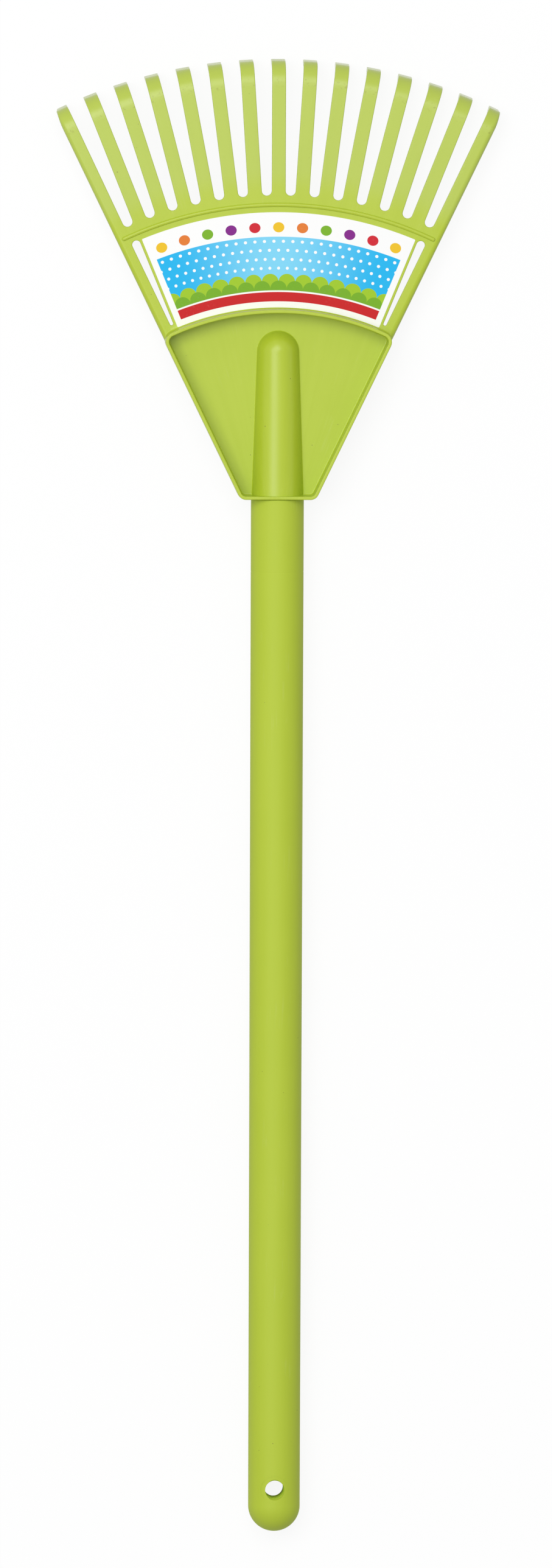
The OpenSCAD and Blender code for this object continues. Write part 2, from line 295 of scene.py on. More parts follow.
# %% Profiles of the plate's edges, as pairs of inset and depth
gap_rounding = 0.4 * mm
side_rounding = 2.3 * mm
rounding_steps = 5
under_rounding = 0.3 * mm
flange_depth = 6 * mm
flange_thickness = 2 * mm
flange_lip = 0.5 * mm
flange_root = 0.8 * mm
lip_steps = 2
spare_ring_step = 0.1 * mm


def top_rounding(radius):
    """A convex quarter from the top face to the side face."""
    return [(radius * fall, radius * rise) for fall, rise in rounding_shares(rounding_steps)]


gap_profile = top_rounding(gap_rounding)
for fall, rise in rounding_shares(lip_steps):
    gap_profile.append((under_rounding * rise, plate_thickness - under_rounding * fall))

flange_profile = top_rounding(side_rounding)
for fall, rise in rounding_shares(lip_steps):
    flange_profile.append((flange_lip * rise, flange_depth - flange_lip * fall))
for fall, rise in rounding_shares(lip_steps):
    flange_profile.append((flange_thickness - flange_lip * fall, flange_depth - flange_lip * rise))
for fall, rise in rounding_shares(lip_steps):
    flange_profile.append((flange_thickness + flange_root * rise, plate_thickness + flange_root * fall))

# Spare rings under the plate, so that both profiles have the same number
for i in range(1, len(flange_profile) - len(gap_profile) + 1):
    gap_profile.append((under_rounding + spare_ring_step * i, plate_thickness))
profiles = {"gap": gap_profile, "flange": flange_profile}
print("rings in an edge profile:", len(gap_profile), len(flange_profile))


# %% Outline of the plate
def plate_outline():
    """Corner points anticlockwise, and the kind of edge that starts at each."""
    corner = edge_point(plate_foot_radius)
    loop = [corner]
    kinds = ["flange"]
    last = len(tine_names) - 1
    half = tine_pitch / 2
    for k in range(last, -1, -1):
        right = outer_side(flex_radius) if k == last else tine_width / 2
        left = outer_side(flex_radius) if k == 0 else tine_width / 2
        loop += [fan_point(flex_radius, tine_angles[k], side) for side in (right, -left)]
        kinds += ["stub", "gap" if k else "flange"]
        if k:
            for p in arc((0, gap_end_centre), gap_end_radius, -half, half - math.pi, gap_end_steps):
                loop.append(fan_point(p.y, tine_angles[k] - half, p.x))
                kinds.append("gap")
    corner_angle = math.atan2(corner.y, corner.x)
    foot = arc((0, 0), plate_foot_radius, math.pi - corner_angle, corner_angle, plate_foot_steps)[:-1]
    return loop + foot, kinds + ["gap"] * len(foot)


plate_loop, plate_kinds = plate_outline()
print("plate outline:", len(plate_loop), "points")


# %% Outline of the slots
rib_radius = 178.5 * mm
rail_width = 5.8 * mm
slot_rib_gap = 5.2 * mm
slot_dish_gap = 3.4 * mm
slot_top_width = 4.2 * mm
slot_top_steps = 12
slot_bottom_width = 1.6 * mm
slot_bottom_steps = 8
inward = Vector((-math.cos(edge_angle), math.sin(edge_angle)))
slot_low = edge_point(dish_radius + slot_dish_gap, rail_width)
slot_high = edge_point(rib_radius - slot_rib_gap, rail_width)
slot_inner_low = slot_low + inward * slot_bottom_width
slot_inner_high = slot_high + inward * slot_top_width
print("slots:", round((slot_high - slot_low).length / mm, 1), "mm long")


def slot_outline():
    """Right slot, clockwise, so that the plastic lies to the left of its edges."""
    top = (slot_high + slot_inner_high) / 2
    bottom = (slot_low + slot_inner_low) / 2
    start = math.atan2(inward.y, inward.x)
    half_turn = start - math.pi
    loop = arc(top, slot_top_width / 2, start, half_turn, slot_top_steps)
    return loop + arc(bottom, slot_bottom_width / 2, half_turn, half_turn - math.pi, slot_bottom_steps)


# %% Rings down an edge
straight_enough = 1e-4


def inset_vector(before, here, after, inset_before, inset_after):
    """How far a corner moves so that its two edges move inwards by their own insets."""
    first = (here - before).normalized()
    second = (after - here).normalized()
    normal_a = Vector((-first.y, first.x))
    normal_b = Vector((-second.y, second.x))
    cross = normal_a.x * normal_b.y - normal_a.y * normal_b.x
    if abs(cross) < straight_enough:
        return (normal_a * inset_before + normal_b * inset_after) / 2
    x = (inset_before * normal_b.y - inset_after * normal_a.y) / cross
    y = (normal_a.x * inset_after - normal_b.x * inset_before) / cross
    return Vector((x, y))


def edge_rings(loop, kinds):
    """Rings down the edge of an outline, each a list of points."""
    rings = []
    for level in range(len(gap_profile)):
        ring = []
        for i, here in enumerate(loop):
            pair = (kinds[i - 1], kinds[i])
            insets = [0.0 if kind == "stub" else profiles[kind][level][0] for kind in pair]
            depth = profiles["flange" if "flange" in pair else "gap"][level][1]
            moved = here + inset_vector(loop[i - 1], here, loop[(i + 1) % len(loop)], *insets)
            ring.append(lifted(moved, plate_top - depth))
        rings.append(ring)
    return rings


# %% Flat faces between outlines
inside_outline = 1
merge_distance = 1e-9


def flat_faces(points, loops):
    """Triangles between an outline and the holes in it. Each loop lists the indices of its points."""
    order = [i for loop in loops for i in loop]
    owner = [number for number, loop in enumerate(loops) for _ in loop]
    edges = []
    start = 0
    for loop in loops:
        edges += [(start + i, start + (i + 1) % len(loop)) for i in range(len(loop))]
        start += len(loop)
    flat = [points[i].xy for i in order]
    found = delaunay_2d_cdt(flat, edges, [], inside_outline, merge_distance)[2]
    in_plastic = [face for face in found if not (owner[face[0]] and len({owner[i] for i in face}) == 1)]
    return [[order[i] for i in face] for face in in_plastic]


# %% Build the plate from rings
def build_plate():
    """Closed plate: rings down the edge of the outline and of both slots, and flat faces between them."""
    slot = slot_outline()
    loops = [(plate_loop, plate_kinds)]
    loops += [(one, ["gap"] * len(one)) for one in (slot, mirrored(slot))]
    points = []
    faces = []
    top_loops = []
    bottom_loops = []
    for loop, kinds in loops:
        rings = edge_rings(loop, kinds)
        levels = range(len(rings))
        start = len(points)
        points += [p for ring in rings for p in ring]
        columns = [[start + level * len(loop) + i for level in levels] for i in range(len(loop))]
        top_loops.append([column[0] for column in columns])
        bottom_loops.append([column[-1] for column in columns])
        for left, right, kind in zip(columns, columns[1:] + columns[:1], kinds):
            if kind == "stub":
                faces.append(left + right[::-1])
            else:
                faces += [[left[n], right[n], right[n + 1], left[n + 1]] for n in levels[:-1]]
    faces += flat_faces(points, top_loops)
    faces += flat_faces(points, bottom_loops)
    return new_object("head_moulding", points, faces)


head = build_plate()
tell("plate", head)

# %% [markdown]
# ## The dish
# Between the label and the handle the head sinks into a dish with a raised rim. Its walls lean a few
# degrees, as they must to leave the mould, its rim is rounded, and fillets join the walls to the plate
# and the floor. A loft through copies of one outline gives all of that: each level has its own inset and
# height. The dish is a solid block first, and a second loft then hollows it, so the plate can run into
# its corners.

# %% Sizes of the dish
lip_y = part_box("rake_head")[0].y - fan_centre.y
rim_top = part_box("rake_head")[1].z
dish_proud = 0.45 * mm
floor_drop = 3 * mm
floor_thickness = 2.5 * mm
dish_floor = plate_top - floor_drop
dish_under = dish_floor - floor_thickness
top_corner = 5 * mm
bottom_corner = 4.4 * mm
least_corner = 1.4 * mm
corner_steps = 8
arch_steps = 30
rim_width = 1.65 * mm
rim_rounding = 0.45 * mm
rim_steps = 4
outer_draft = 0.12 * mm
inner_draft = 0.25 * mm
foot_fillet = 1.1 * mm
floor_fillet = 0.75 * mm
fillet_steps = 6
print("dish:", round((rim_top - dish_floor) / mm, 1), "mm deep")

# %% Outlines of the dish
# Shares of the turn round an upper corner where the foot fillet starts and where it is full
fillet_start_share = 0.25
fillet_full_share = 0.95


def dish_outline(inset):
    """Outline of the dish, anticlockwise, as points and how much of the foot fillet each one has."""
    top_radius = max(top_corner - inset, least_corner)
    bottom_radius = max(bottom_corner - inset, least_corner)
    side = inset - dish_proud
    bottom_y = lip_y + inset + bottom_radius
    bottom = Vector((side_x(bottom_y, side + bottom_radius), bottom_y))
    top = edge_point(dish_radius - inset - top_radius, side + top_radius)
    top_angle = math.atan2(top.y, top.x)
    half = arc(bottom, bottom_radius, -math.pi / 2, -edge_angle, corner_steps)
    shares = [0.0] * len(half)
    half += arc(top, top_radius, -edge_angle, top_angle, corner_steps)
    shares += [ease(turn, fillet_start_share, fillet_full_share) for turn in spread(0.0, 1.0, corner_steps)]
    arch = arc((0, 0), dish_radius - inset, top_angle, math.pi / 2, arch_steps)[1:]
    half += arch
    shares += [1.0] * len(arch)
    return half + mirrored(half[:-1]), shares + shares[-2::-1]


def dish_ring(z, inset, arch_inset=0.0):
    """Ring of the dish at a height. The arch and its corners are inset by arch_inset more."""
    plain, shares = dish_outline(inset)
    moved, _ = dish_outline(inset + arch_inset)
    return [lifted(p.lerp(q, share), z) for p, q, share in zip(plain, moved, shares)]


print("dish outline:", len(dish_outline(0.0)[0]), "points")


# %% Build the dish's block and its hollow
# Lower edge of the block, as pairs of height over the underside and inset
lower_edge = ((0.0, 1.0 * mm), (0.25 * mm, 0.25 * mm), (0.9 * mm, 0.0))
# The foot fillet's root inside the plate: where it starts, and a depth where it has a share of the fillet
root_depth = 1.3 * mm
root_share_depth = 0.6 * mm
root_share = 0.7
foot_sunk = 0.04 * mm
# How far a cutter runs past the face that it opens
overrun = 1 * mm


def block_rings():
    """From the underside up the outside to the rim, with the fillet where the arch stands on the plate."""
    rings = [dish_ring(dish_under + height, inset) for height, inset in lower_edge]
    rings.append(dish_ring(plate_top - root_depth, 0.0))
    rings.append(dish_ring(plate_top - root_share_depth, 0.0, -root_share * foot_fillet))
    for fall, rise in rounding_shares(fillet_steps):
        rings.append(dish_ring(plate_top - foot_sunk + foot_fillet * rise, 0.0, -foot_fillet * fall))
    for fall, rise in rounding_shares(rim_steps):
        inset = outer_draft + rim_rounding * rise
        rings.append(dish_ring(rim_top - rim_rounding * fall, inset, outer_draft))
    return rings


def hollow_rings():
    """From above the rim down the inside to the floor."""
    inner = outer_draft + rim_width
    rings = [dish_ring(rim_top + overrun, inner - rim_rounding, outer_draft)]
    for fall, rise in rounding_shares(rim_steps):
        rings.append(dish_ring(rim_top - rim_rounding * rise, inner - rim_rounding * fall, outer_draft))
    for fall, rise in rounding_shares(fillet_steps):
        inset = inner + inner_draft + floor_fillet * rise
        rings.append(dish_ring(dish_floor + floor_fillet * fall, inset, outer_draft))
    return rings


block = loft("dish_block", block_rings())
hollow = loft("dish_hollow", hollow_rings())
tell("dish block", block)
tell("dish hollow", hollow)

# %% [markdown]
# ## The rib
# A slim half-round rib arches across the plate under the gaps and stiffens it. It is a section swept
# along an arc, with its two ends rounded like the end of a finger.

# %% Build the rib
rib_half_width = 1.05 * mm
rib_height = 1.0 * mm
rib_sunk = 0.05 * mm
rib_root_depth = 0.6 * mm
rib_root_share = 0.8
rib_end_gap = math.radians(0.25)
rib_steps = 60
rib_end_steps = 6
rib_section_steps = 12


def rib_stations():
    """Angles along the rib, and the share of its full section that it has at each."""
    end_angle = outer_angle - rib_end_gap
    end_length = rib_half_width / rib_radius
    turns = spread(0.0, math.pi / 2, rib_end_steps)[:-1]
    rounded_end = [(end_angle + end_length * math.sin(t), math.cos(t)) for t in turns]
    stations = [(-angle, share) for angle, share in reversed(rounded_end)]
    stations += [(angle, 1.0) for angle in spread(-end_angle, end_angle, rib_steps)[1:-1]]
    return stations + rounded_end


def rib_rings():
    """Half-round sections, each with a root inside the plate."""
    rings = []
    for angle, share in rib_stations():
        half_width = rib_half_width * share
        ring = []
        for turn in spread(0.0, math.pi, rib_section_steps):
            flat = fan_point(rib_radius - half_width * math.cos(turn), angle)
            ring.append(lifted(flat, plate_top - rib_sunk + rib_height * share * math.sin(turn)))
        for side in (1, -1):
            flat = fan_point(rib_radius + side * half_width * rib_root_share, angle)
            ring.append(lifted(flat, plate_top - rib_root_depth))
        rings.append(ring)
    return rings


rib = loft("arched_rib", rib_rings())
tell("rib", rib)

# %% [markdown]
# ## The socket
# The handle's spigot sits in a tapered socket with a round end, which shows in the dish as a bullet-
# shaped boss and under the head as half a tube. A turned solid would meet the floor at a hard line. Here
# half-sections are swept along the boss's outline instead, and each holds a rolling-ball fillet to the
# floor and another to the underside.

# %% Sizes of the socket
hang_hole = frame["record"]["mounts"][0]["pos_m"]
axis_z = hang_hole[2]
socket_mouth_radius = 12.7 * mm
socket_nose_radius = 10.4 * mm
socket_dish_gap = 10.9 * mm
socket_end_y = dish_radius - socket_dish_gap
nose_y = socket_end_y - socket_nose_radius
boss_fillet = 0.7 * mm
boss_under_fillet = 1.2 * mm
boss_sunk = 0.03 * mm
boss_mouth_inset = 0.02 * mm
print("socket:", round((socket_end_y - lip_y) / mm, 1), "mm long")


def socket_radius(y):
    """Outer radius of the socket, which tapers from its mouth to the round end."""
    share = (y - lip_y) / (nose_y - lip_y)
    return socket_mouth_radius + (socket_nose_radius - socket_mouth_radius) * share


# %% Sections of the socket
ridge_steps = 16
boss_fillet_steps = 8
under_fillet_steps = 5
under_steps = 12


def ball_place(radius, ball_radius, height):
    """How far out a ball touches the socket, and at what angle. Its middle is a height from the axis."""
    reach = math.sqrt((radius + ball_radius) ** 2 - height ** 2)
    return reach, math.atan2(height, reach)


def boss_section(radius):
    """Half-section from the ridge to the lowest line, as points of distance from the axis and height."""
    ball_z = dish_floor + boss_fillet
    under_z = dish_under - boss_under_fillet
    reach, contact = ball_place(radius, boss_fillet, ball_z - axis_z)
    under_reach, under_contact = ball_place(radius, boss_under_fillet, axis_z - under_z)
    ball = (reach, ball_z - boss_sunk)
    under_ball = (under_reach, under_z + boss_sunk)
    right = math.pi / 2
    section = arc((0, axis_z), radius, right, contact, ridge_steps)
    section += arc(ball, boss_fillet, math.pi + contact, 3 * right, boss_fillet_steps)[1:]
    section += arc(under_ball, boss_under_fillet, right, math.pi - under_contact, under_fillet_steps)
    return section + arc((0, axis_z), radius, -under_contact, -right, under_steps)[1:]


print("points in half a section of the socket:", len(boss_section(socket_mouth_radius)))


# %% Build the socket
taper_steps = 24
nose_steps = 32


def build_boss():
    """Sweeps the half-section up the left of the socket, round its nose and down its right."""
    taper = spread(lip_y + boss_mouth_inset, nose_y, taper_steps)
    stations = [(y, math.pi) for y in taper]
    stations += [(nose_y, turn) for turn in spread(math.pi, 0.0, nose_steps)[1:-1]]
    stations += [(y, 0.0) for y in reversed(taper)]
    points = []
    for y, turn in stations:
        for reach, z in boss_section(socket_radius(y)):
            points.append(Vector((reach * math.cos(turn), y + reach * math.sin(turn), z)))
    count = len(points) // len(stations)
    faces = []
    for station in range(len(stations) - 1):
        for i in range(count - 1):
            here = station * count + i
            faces.append([here, here + 1, here + count + 1, here + count])
    last = (len(stations) - 1) * count
    faces.append(list(range(1, count)) + list(range(last + count - 2, last - 1, -1)))
    return new_object("socket_boss", points, faces)


boss = build_boss()
tell("boss", boss)

# %% [markdown]
# ## One moulding
# The plate, dish, rib and socket are one piece of plastic, so booleans join them into one closed mesh:
# the block and rib are added, the hollow is cut, then the boss is added. The pad for the screw, the bore
# for the spigot and the countersink come last.

# %% Sizes of the bore and the screw's seat
screw_low, screw_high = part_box("fixing_screw")
screw_y = (screw_low.y + screw_high.y) / 2 - fan_centre.y
screw_head_radius = (screw_high.x - screw_low.x) / 2
screw_head_height = 2.2 * mm
screw_shank_radius = 1.6 * mm
screw_gap = 0.05 * mm
screw_segments = 48
pad_radius = 5.2 * mm
pad_rounding = 0.5 * mm
pad_steps = 4
pad_top = 6 * mm
socket_wall = 2.1 * mm
bore_end_gap = 11.8 * mm
bore_end_y = socket_end_y - bore_end_gap
print("bore:", round((bore_end_y - lip_y) / mm, 1), "mm deep")


def tapered(radius_of, inset, start, end):
    """Profile of a bar between two places, by an inset thinner than the radius that a function gives."""
    return [(0, start), (radius_of(start) - inset, start), (radius_of(end) - inset, end), (0, end)]


def pad_profile():
    """Round pad under the socket that the screw's head sinks into."""
    face = screw_low.z
    shares = rounding_shares(pad_steps)
    edge = [(pad_radius - pad_rounding * fall, face + pad_rounding * rise) for fall, rise in shares]
    return [(0, face)] + edge + [(pad_radius, pad_top), (0, pad_top)]


def seat_profile():
    """Countersink and hole for the screw."""
    head_radius = screw_head_radius + screw_gap
    shank_radius = screw_shank_radius + screw_gap
    face = screw_low.z
    profile = [(0, face - overrun), (head_radius, face - overrun), (head_radius, face)]
    profile.append((shank_radius, face + screw_head_height))
    return profile + [(shank_radius, screw_high.z), (0, screw_high.z)]


# %% Join the head's parts
up = Vector((0, 0, 1))
along_handle = Vector((0, 1, 0))
axle = Vector((0, 0, axis_z))
screw_place = Vector((0, screw_y, 0))
combine(head, block, "UNION")
combine(head, rib, "UNION")
combine(head, hollow, "DIFFERENCE")
combine(head, boss, "UNION")
combine(head, turned("screw_pad", pad_profile(), screw_place, up, screw_segments), "UNION")
bore_profile = tapered(socket_radius, socket_wall, lip_y - overrun, bore_end_y)
combine(head, turned("bore", bore_profile, axle, along_handle), "DIFFERENCE")
combine(head, turned("screw_seat", seat_profile(), screw_place, up, screw_segments), "DIFFERENCE")
soften(head)
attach(head, "rake")
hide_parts("rake_head")
tell("head", head)

# %% [markdown]
# ## The tines
# Each tine is a flat springy bar that goes on from its stub, runs straight out, and bends down into a
# hook. It is swept from the same edge profiles as the plate, so at rest no joint shows. On the real rake
# a tine bends along its length.

# %% Sizes of a tine
hook_bend_radius = 10.5 * mm
hook_angle = math.radians(86)
hook_tip_thickness = 1.5 * mm
hook_drop = hook_bend_radius * (1 - math.cos(hook_angle))
hook_length = (plate_top - hook_drop - hook_tip_thickness * math.cos(hook_angle)) / math.sin(hook_angle)
bend_start = tip_radius - hook_bend_radius * math.sin(hook_angle) - hook_length * math.cos(hook_angle)
# How far the outermost tines are drawn in at their tips, and the share of the bend where that starts
outer_corner_trim = 1.7 * mm
trim_start_share = 0.15
# How much of the flange's rounding is gone at the end of the bend
rounding_loss_share = 0.75
tip_rounding = 0.35 * mm
tip_narrowing_share = 0.12
# The rounded tip, as shares of its rounding and of how far the section has shrunk to its middle
tip_ring_shares = ((0.7, 0.25), (1.0, 0.6))
straight_steps = 26
bend_steps = 14
hook_steps = 6
print("hooks: straight for", round(hook_length / mm, 2), "mm under the bend")


# %% Stations of a tine
def tine_stations():
    """Places along a tine: its straight reach, its angle round the bend, and its reach down the hook."""
    stations = [(reach, 0.0, 0.0) for reach in spread(flex_radius, bend_start, straight_steps)]
    stations += [(bend_start, turn, 0.0) for turn in spread(0.0, hook_angle, bend_steps)[1:]]
    straight_end = hook_length - tip_rounding
    stations += [(bend_start, hook_angle, down) for down in spread(0.0, straight_end, hook_steps)[1:]]
    return stations


print("stations along a tine:", len(tine_stations()))


# %% Sections of a tine
def side_profile(outer, turn):
    """Edge profile of a tine. The flange of an outermost tine runs level into the bend and ends there."""
    if not outer:
        return gap_profile
    level_depth = hook_bend_radius - (hook_bend_radius - flange_depth) / math.cos(turn)
    flange_left = max(0.0, (level_depth - plate_thickness) / (flange_depth - plate_thickness))
    rounding_left = 1 - rounding_loss_share * ease(turn, 0.0, hook_angle)
    profile = []
    for ring, ((inset, depth), (plain_inset, plain_depth)) in enumerate(zip(flange_profile, gap_profile)):
        if ring <= rounding_steps:
            profile.append((inset * rounding_left, depth * rounding_left))
        elif depth > plate_thickness:
            kept_inset = plain_inset + (inset - plain_inset) * flange_left
            profile.append((kept_inset, plain_depth + (depth - plain_depth) * flange_left))
        else:
            profile.append((inset, depth))
    return profile


def tine_section(k, station, shrink=0.0):
    """Ring of a tine at a station: down its left edge and up its right edge."""
    reach, turn, down = station
    first = k == 0
    last = k == len(tine_names) - 1
    hooked = ease(turn, trim_start_share * hook_angle, hook_angle) + down / hook_length
    half = outer_side(reach + (tip_radius - bend_start) * turn / hook_angle)
    trimmed = half - outer_corner_trim * hooked / 2
    left = trimmed if first else tine_width / 2
    right = trimmed if last else tine_width / 2
    taper = 1 - (1 - hook_tip_thickness / plate_thickness) * down / hook_length
    middle = plate_thickness * taper / 2
    edges = [(-1, left, side_profile(first, turn)), (1, right, side_profile(last, turn)[::-1])]
    ring = []
    for side, width, profile in edges:
        for inset, depth in profile:
            deep = depth * taper
            deep += (middle - deep) * shrink
            across = side * (width - inset) * (1 - shrink * tip_narrowing_share)
            out = reach + (hook_bend_radius - deep) * math.sin(turn) + down * math.cos(hook_angle)
            height = plate_top - hook_bend_radius + (hook_bend_radius - deep) * math.cos(turn)
            height -= down * math.sin(hook_angle)
            ring.append(lifted(fan_point(out, tine_angles[k], across), height))
    return ring


print("points in a tine's section:", len(tine_section(0, tine_stations()[0])))


# %% Build the tines
def build_tine(k):
    """Sweeps tine number k from its flex line to its rounded tip."""
    stations = tine_stations()
    rings = [tine_section(k, station) for station in stations]
    reach, turn, down = stations[-1]
    for share, shrink in tip_ring_shares:
        rings.append(tine_section(k, (reach, turn, down + tip_rounding * share), shrink))
    return loft("tine_blade_" + tine_names[k].split("_")[1], rings)


tines = []
for k, name in enumerate(tine_names):
    blade = build_tine(k)
    soften(blade)
    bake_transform(blade)
    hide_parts(name)
    tines.append(blade)
print("tines:", len(tines), "with", sum(loose_edges(blade) for blade in tines), "loose edges")

# %% [markdown]
# ## The handle
# The handle is a plain tapered tube with a round end and a hanging hole, whose edge is rolled in. It is
# turned like work on a lathe, spigot included. The hole is one boolean with a turned cutter that flares
# at both ends, which gives the soft oval edge that a round hole has on a round bar. The mould's pin has
# left a shallow ring round the hole. A disc less a slightly thinner bar is cut away for it, so the ring
# follows the round of the handle.

# %% Sizes of the handle
handle_low, handle_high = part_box("handle")
handle_end_y = handle_low.y - fan_centre.y
spigot_end_y = handle_high.y - fan_centre.y
handle_head_radius = (handle_high.x - handle_low.x) / 2
handle_end_radius = 12.7 * mm
handle_steps = 40
handle_segments = 128
round_end_steps = 20
shoulder_rounding = 0.5 * mm
shoulder_steps = 4
spigot_gap = 0.12 * mm
mould_line_y = -1.9 * mm
mould_line_half_width = 0.5 * mm
mould_line_depth = 0.06 * mm
# The groove of the mould line, as shares of its half width and of its depth
mould_line_shares = ((1, 0), (0.3, 0.6), (0, 1), (-0.3, 0.6), (-1, 0))
print("handle:", round((lip_y - handle_end_y) / mm, 1), "mm long")


def handle_radius(y):
    """Outer radius of the handle, which tapers from the head to the round end."""
    share = (y - handle_end_y) / (lip_y - handle_end_y)
    return handle_end_radius + (handle_head_radius - handle_end_radius) * share


def handle_profile():
    """From the spigot's end, over the shoulder and down to the tip of the round end."""
    profile = tapered(socket_radius, socket_wall + spigot_gap, spigot_end_y, lip_y)[:-1]
    for fall, rise in rounding_shares(shoulder_steps):
        profile.append((handle_radius(lip_y) - shoulder_rounding * fall, lip_y - shoulder_rounding * rise))
    for side_share, depth_share in mould_line_shares:
        y = mould_line_y + side_share * mould_line_half_width
        profile.append((handle_radius(y) - depth_share * mould_line_depth, y))
    round_y = handle_end_y + handle_end_radius
    profile += [(handle_radius(y), y) for y in spread(mould_line_y, round_y, handle_steps)[1:-1]]
    profile += arc((0, round_y), handle_end_radius, 0.0, -math.pi / 2, round_end_steps)[:-1]
    return profile + [(0, handle_end_y)]


# %% Sizes of the hanging hole
hang_hole_y = hang_hole[1] - fan_centre.y
hole_place = Vector((0, hang_hole_y, axis_z))
hang_hole_radius = 4.75 * mm
hang_hole_waist = 4.55 * mm
dimple_radius = 5.9 * mm
dimple_depth = 0.9 * mm
dimple_lift = 0.02 * mm
dimple_steps = 10
flare_rise = 0.1 * mm
ring_radius = 6.9 * mm
ring_depth = 0.09 * mm
# Not multiples of four, so that no corner of a cutter lies on the line along the handle's top
hole_segments = 70
ring_segments = 90
print("hanging hole:", round((hang_hole_y - handle_end_y) / mm, 1), "mm from the end")


def hole_profile():
    """Cutter of the hanging hole, along the vertical through the handle's axis."""
    flare = dimple_radius - hang_hole_radius
    flare_radius = dimple_radius + overrun
    top = handle_end_radius + dimple_lift
    end = top + 2 * overrun
    half = [(hang_hole_waist, 0)]
    for fall, rise in rounding_shares(dimple_steps):
        half.append((hang_hole_radius + flare * rise, top - dimple_depth * fall))
    half += [(flare_radius, top + flare_rise), (flare_radius, end), (0, end)]
    return [(radius, -height) for radius, height in reversed(half[1:])] + half


def cut_ring(bar):
    """Sinks a shallow disc round the hanging hole into both sides of the handle."""
    reach = handle_end_radius + 2 * overrun
    disc_profile = [(0, -reach), (ring_radius, -reach), (ring_radius, reach), (0, reach)]
    disc = turned("ring_disc", disc_profile, hole_place, up, ring_segments)
    length = ring_radius + overrun
    core_profile = tapered(handle_radius, ring_depth, hang_hole_y + length, hang_hole_y - length)
    core = turned("ring_core", core_profile, axle, along_handle, handle_segments)
    combine(disc, core, "DIFFERENCE")
    combine(bar, disc, "DIFFERENCE")


# %% Build the handle
handle = turned("handle_bar", handle_profile(), axle, along_handle, handle_segments)
cut_ring(handle)
combine(handle, turned("hang_hole", hole_profile(), hole_place, up, hole_segments), "DIFFERENCE")
combine(handle, turned("screw_bore", seat_profile(), screw_place, up, screw_segments), "DIFFERENCE")
soften(handle)
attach(handle, "rake")
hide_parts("handle")
tell("handle", handle)

# %% [markdown]
# ## The label
# The label is a thin printed film, stuck on the plate between the rib and the dish. It is an arched sheet
# with slightly rounded corners, modelled with its real thickness, so its edge casts a fine line on the
# plastic.

# %% Sizes of the label
label_low, label_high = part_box("label")
label_dish_gap = 0.6 * mm
label_rib_gap = 2.6 * mm
label_slot_gap = 1.3 * mm
label_inner_radius = dish_radius + label_dish_gap
label_outer_radius = rib_radius - rib_half_width - label_rib_gap
label_slope = (slot_inner_high.x - slot_inner_low.x) / (slot_inner_high.y - slot_inner_low.y)
label_lean = math.atan(label_slope)
label_foot_x = slot_inner_low.x - slot_inner_low.y * label_slope - label_slot_gap / math.cos(label_lean)
label_corner = 0.5 * mm
label_steps = 24
label_sunk = 0.02 * mm
label_edge_drop = 0.03 * mm
label_top_share = 0.9997
print("label:", round((label_high.z - label_low.z) / mm, 2), "mm thick")


# %% Build the label
def label_corner_point(radius):
    """Where the label's right edge meets a circle round the fan's centre."""
    y = line_on_circle(radius, label_foot_x, label_slope)
    return Vector((label_foot_x + y * label_slope, y))


def rounded_corner(before, corner, after):
    """Three points that take the sharpness off a corner."""
    start = corner + (before - corner).normalized() * label_corner
    end = corner + (after - corner).normalized() * label_corner
    return [start, (start + end) / 4 + corner / 2, end]


def label_outline():
    """Outline of the label, with arches above and below and rounded corners."""
    low = label_corner_point(label_inner_radius)
    high = label_corner_point(label_outer_radius)
    bottom = arc((0, 0), label_inner_radius, math.pi / 2, math.atan2(low.y, low.x), label_steps)
    top = arc((0, 0), label_outer_radius, math.atan2(high.y, high.x), math.pi / 2, label_steps)
    half = bottom[:-1] + rounded_corner(bottom[-2], low, high)
    half += rounded_corner(low, high, top[1]) + top[1:]
    return half + mirrored(half[1:-1])


def label_rings():
    """The film's outline at its foot, under its upper edge, and a hair smaller at its top."""
    middle = Vector((0, (label_inner_radius + label_outer_radius) / 2))
    levels = [(label_low.z - label_sunk, 1.0), (label_high.z - label_edge_drop, 1.0)]
    levels.append((label_high.z, label_top_share))
    outline = label_outline()
    return [[lifted(middle + (p - middle) * share, z) for p in outline] for z, share in levels]


label = loft("label_sheet", label_rings())
soften(label)
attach(label, "rake")
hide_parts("label")
tell("label", label)

# %% [markdown]
# ## Effects that the finishes share
# Head and handle are the same satin plastic, and the label and the screw have been handled like them. An
# effect that several finishes use is a node group: it is wired once, and every material that places it
# can give it other values. Three groups are made here. The first turns a place into its radius and its
# angle round the fan's centre, the second gives the grain and the flow streaks of moulded plastic, and
# the third the marks of handling.

# %% Helpers for shader nodes
noise_roughness = 0.55


def add_node(tree, kind, inputs, **settings):
    """Adds a node, sets it up, and fills its inputs with numbers, colours or other nodes' outputs."""
    made = tree.nodes.new("ShaderNode" + kind)
    for setting, value in settings.items():
        setattr(made, setting, value)
    for socket, value in inputs.items():
        if isinstance(value, bpy.types.NodeSocket):
            tree.links.new(value, made.inputs[socket])
        else:
            made.inputs[socket].default_value = value
    return made


def calc(tree, operation, first, second=0.0, third=0.0):
    """Result of one Math node."""
    return add_node(tree, "Math", {0: first, 1: second, 2: third}, operation=operation).outputs[0]


def hypotenuse(tree, x, y):
    """Length of the straight line that goes x sideways and y up."""
    return calc(tree, "SQRT", calc(tree, "MULTIPLY_ADD", x, x, calc(tree, "MULTIPLY", y, y)))


def parts_from(tree, position, centre):
    """X, Y and Z of a place, counted from a centre."""
    moved = add_node(tree, "VectorMath", {0: position, 1: centre}, operation="SUBTRACT").outputs[0]
    return add_node(tree, "SeparateXYZ", {0: moved}).outputs


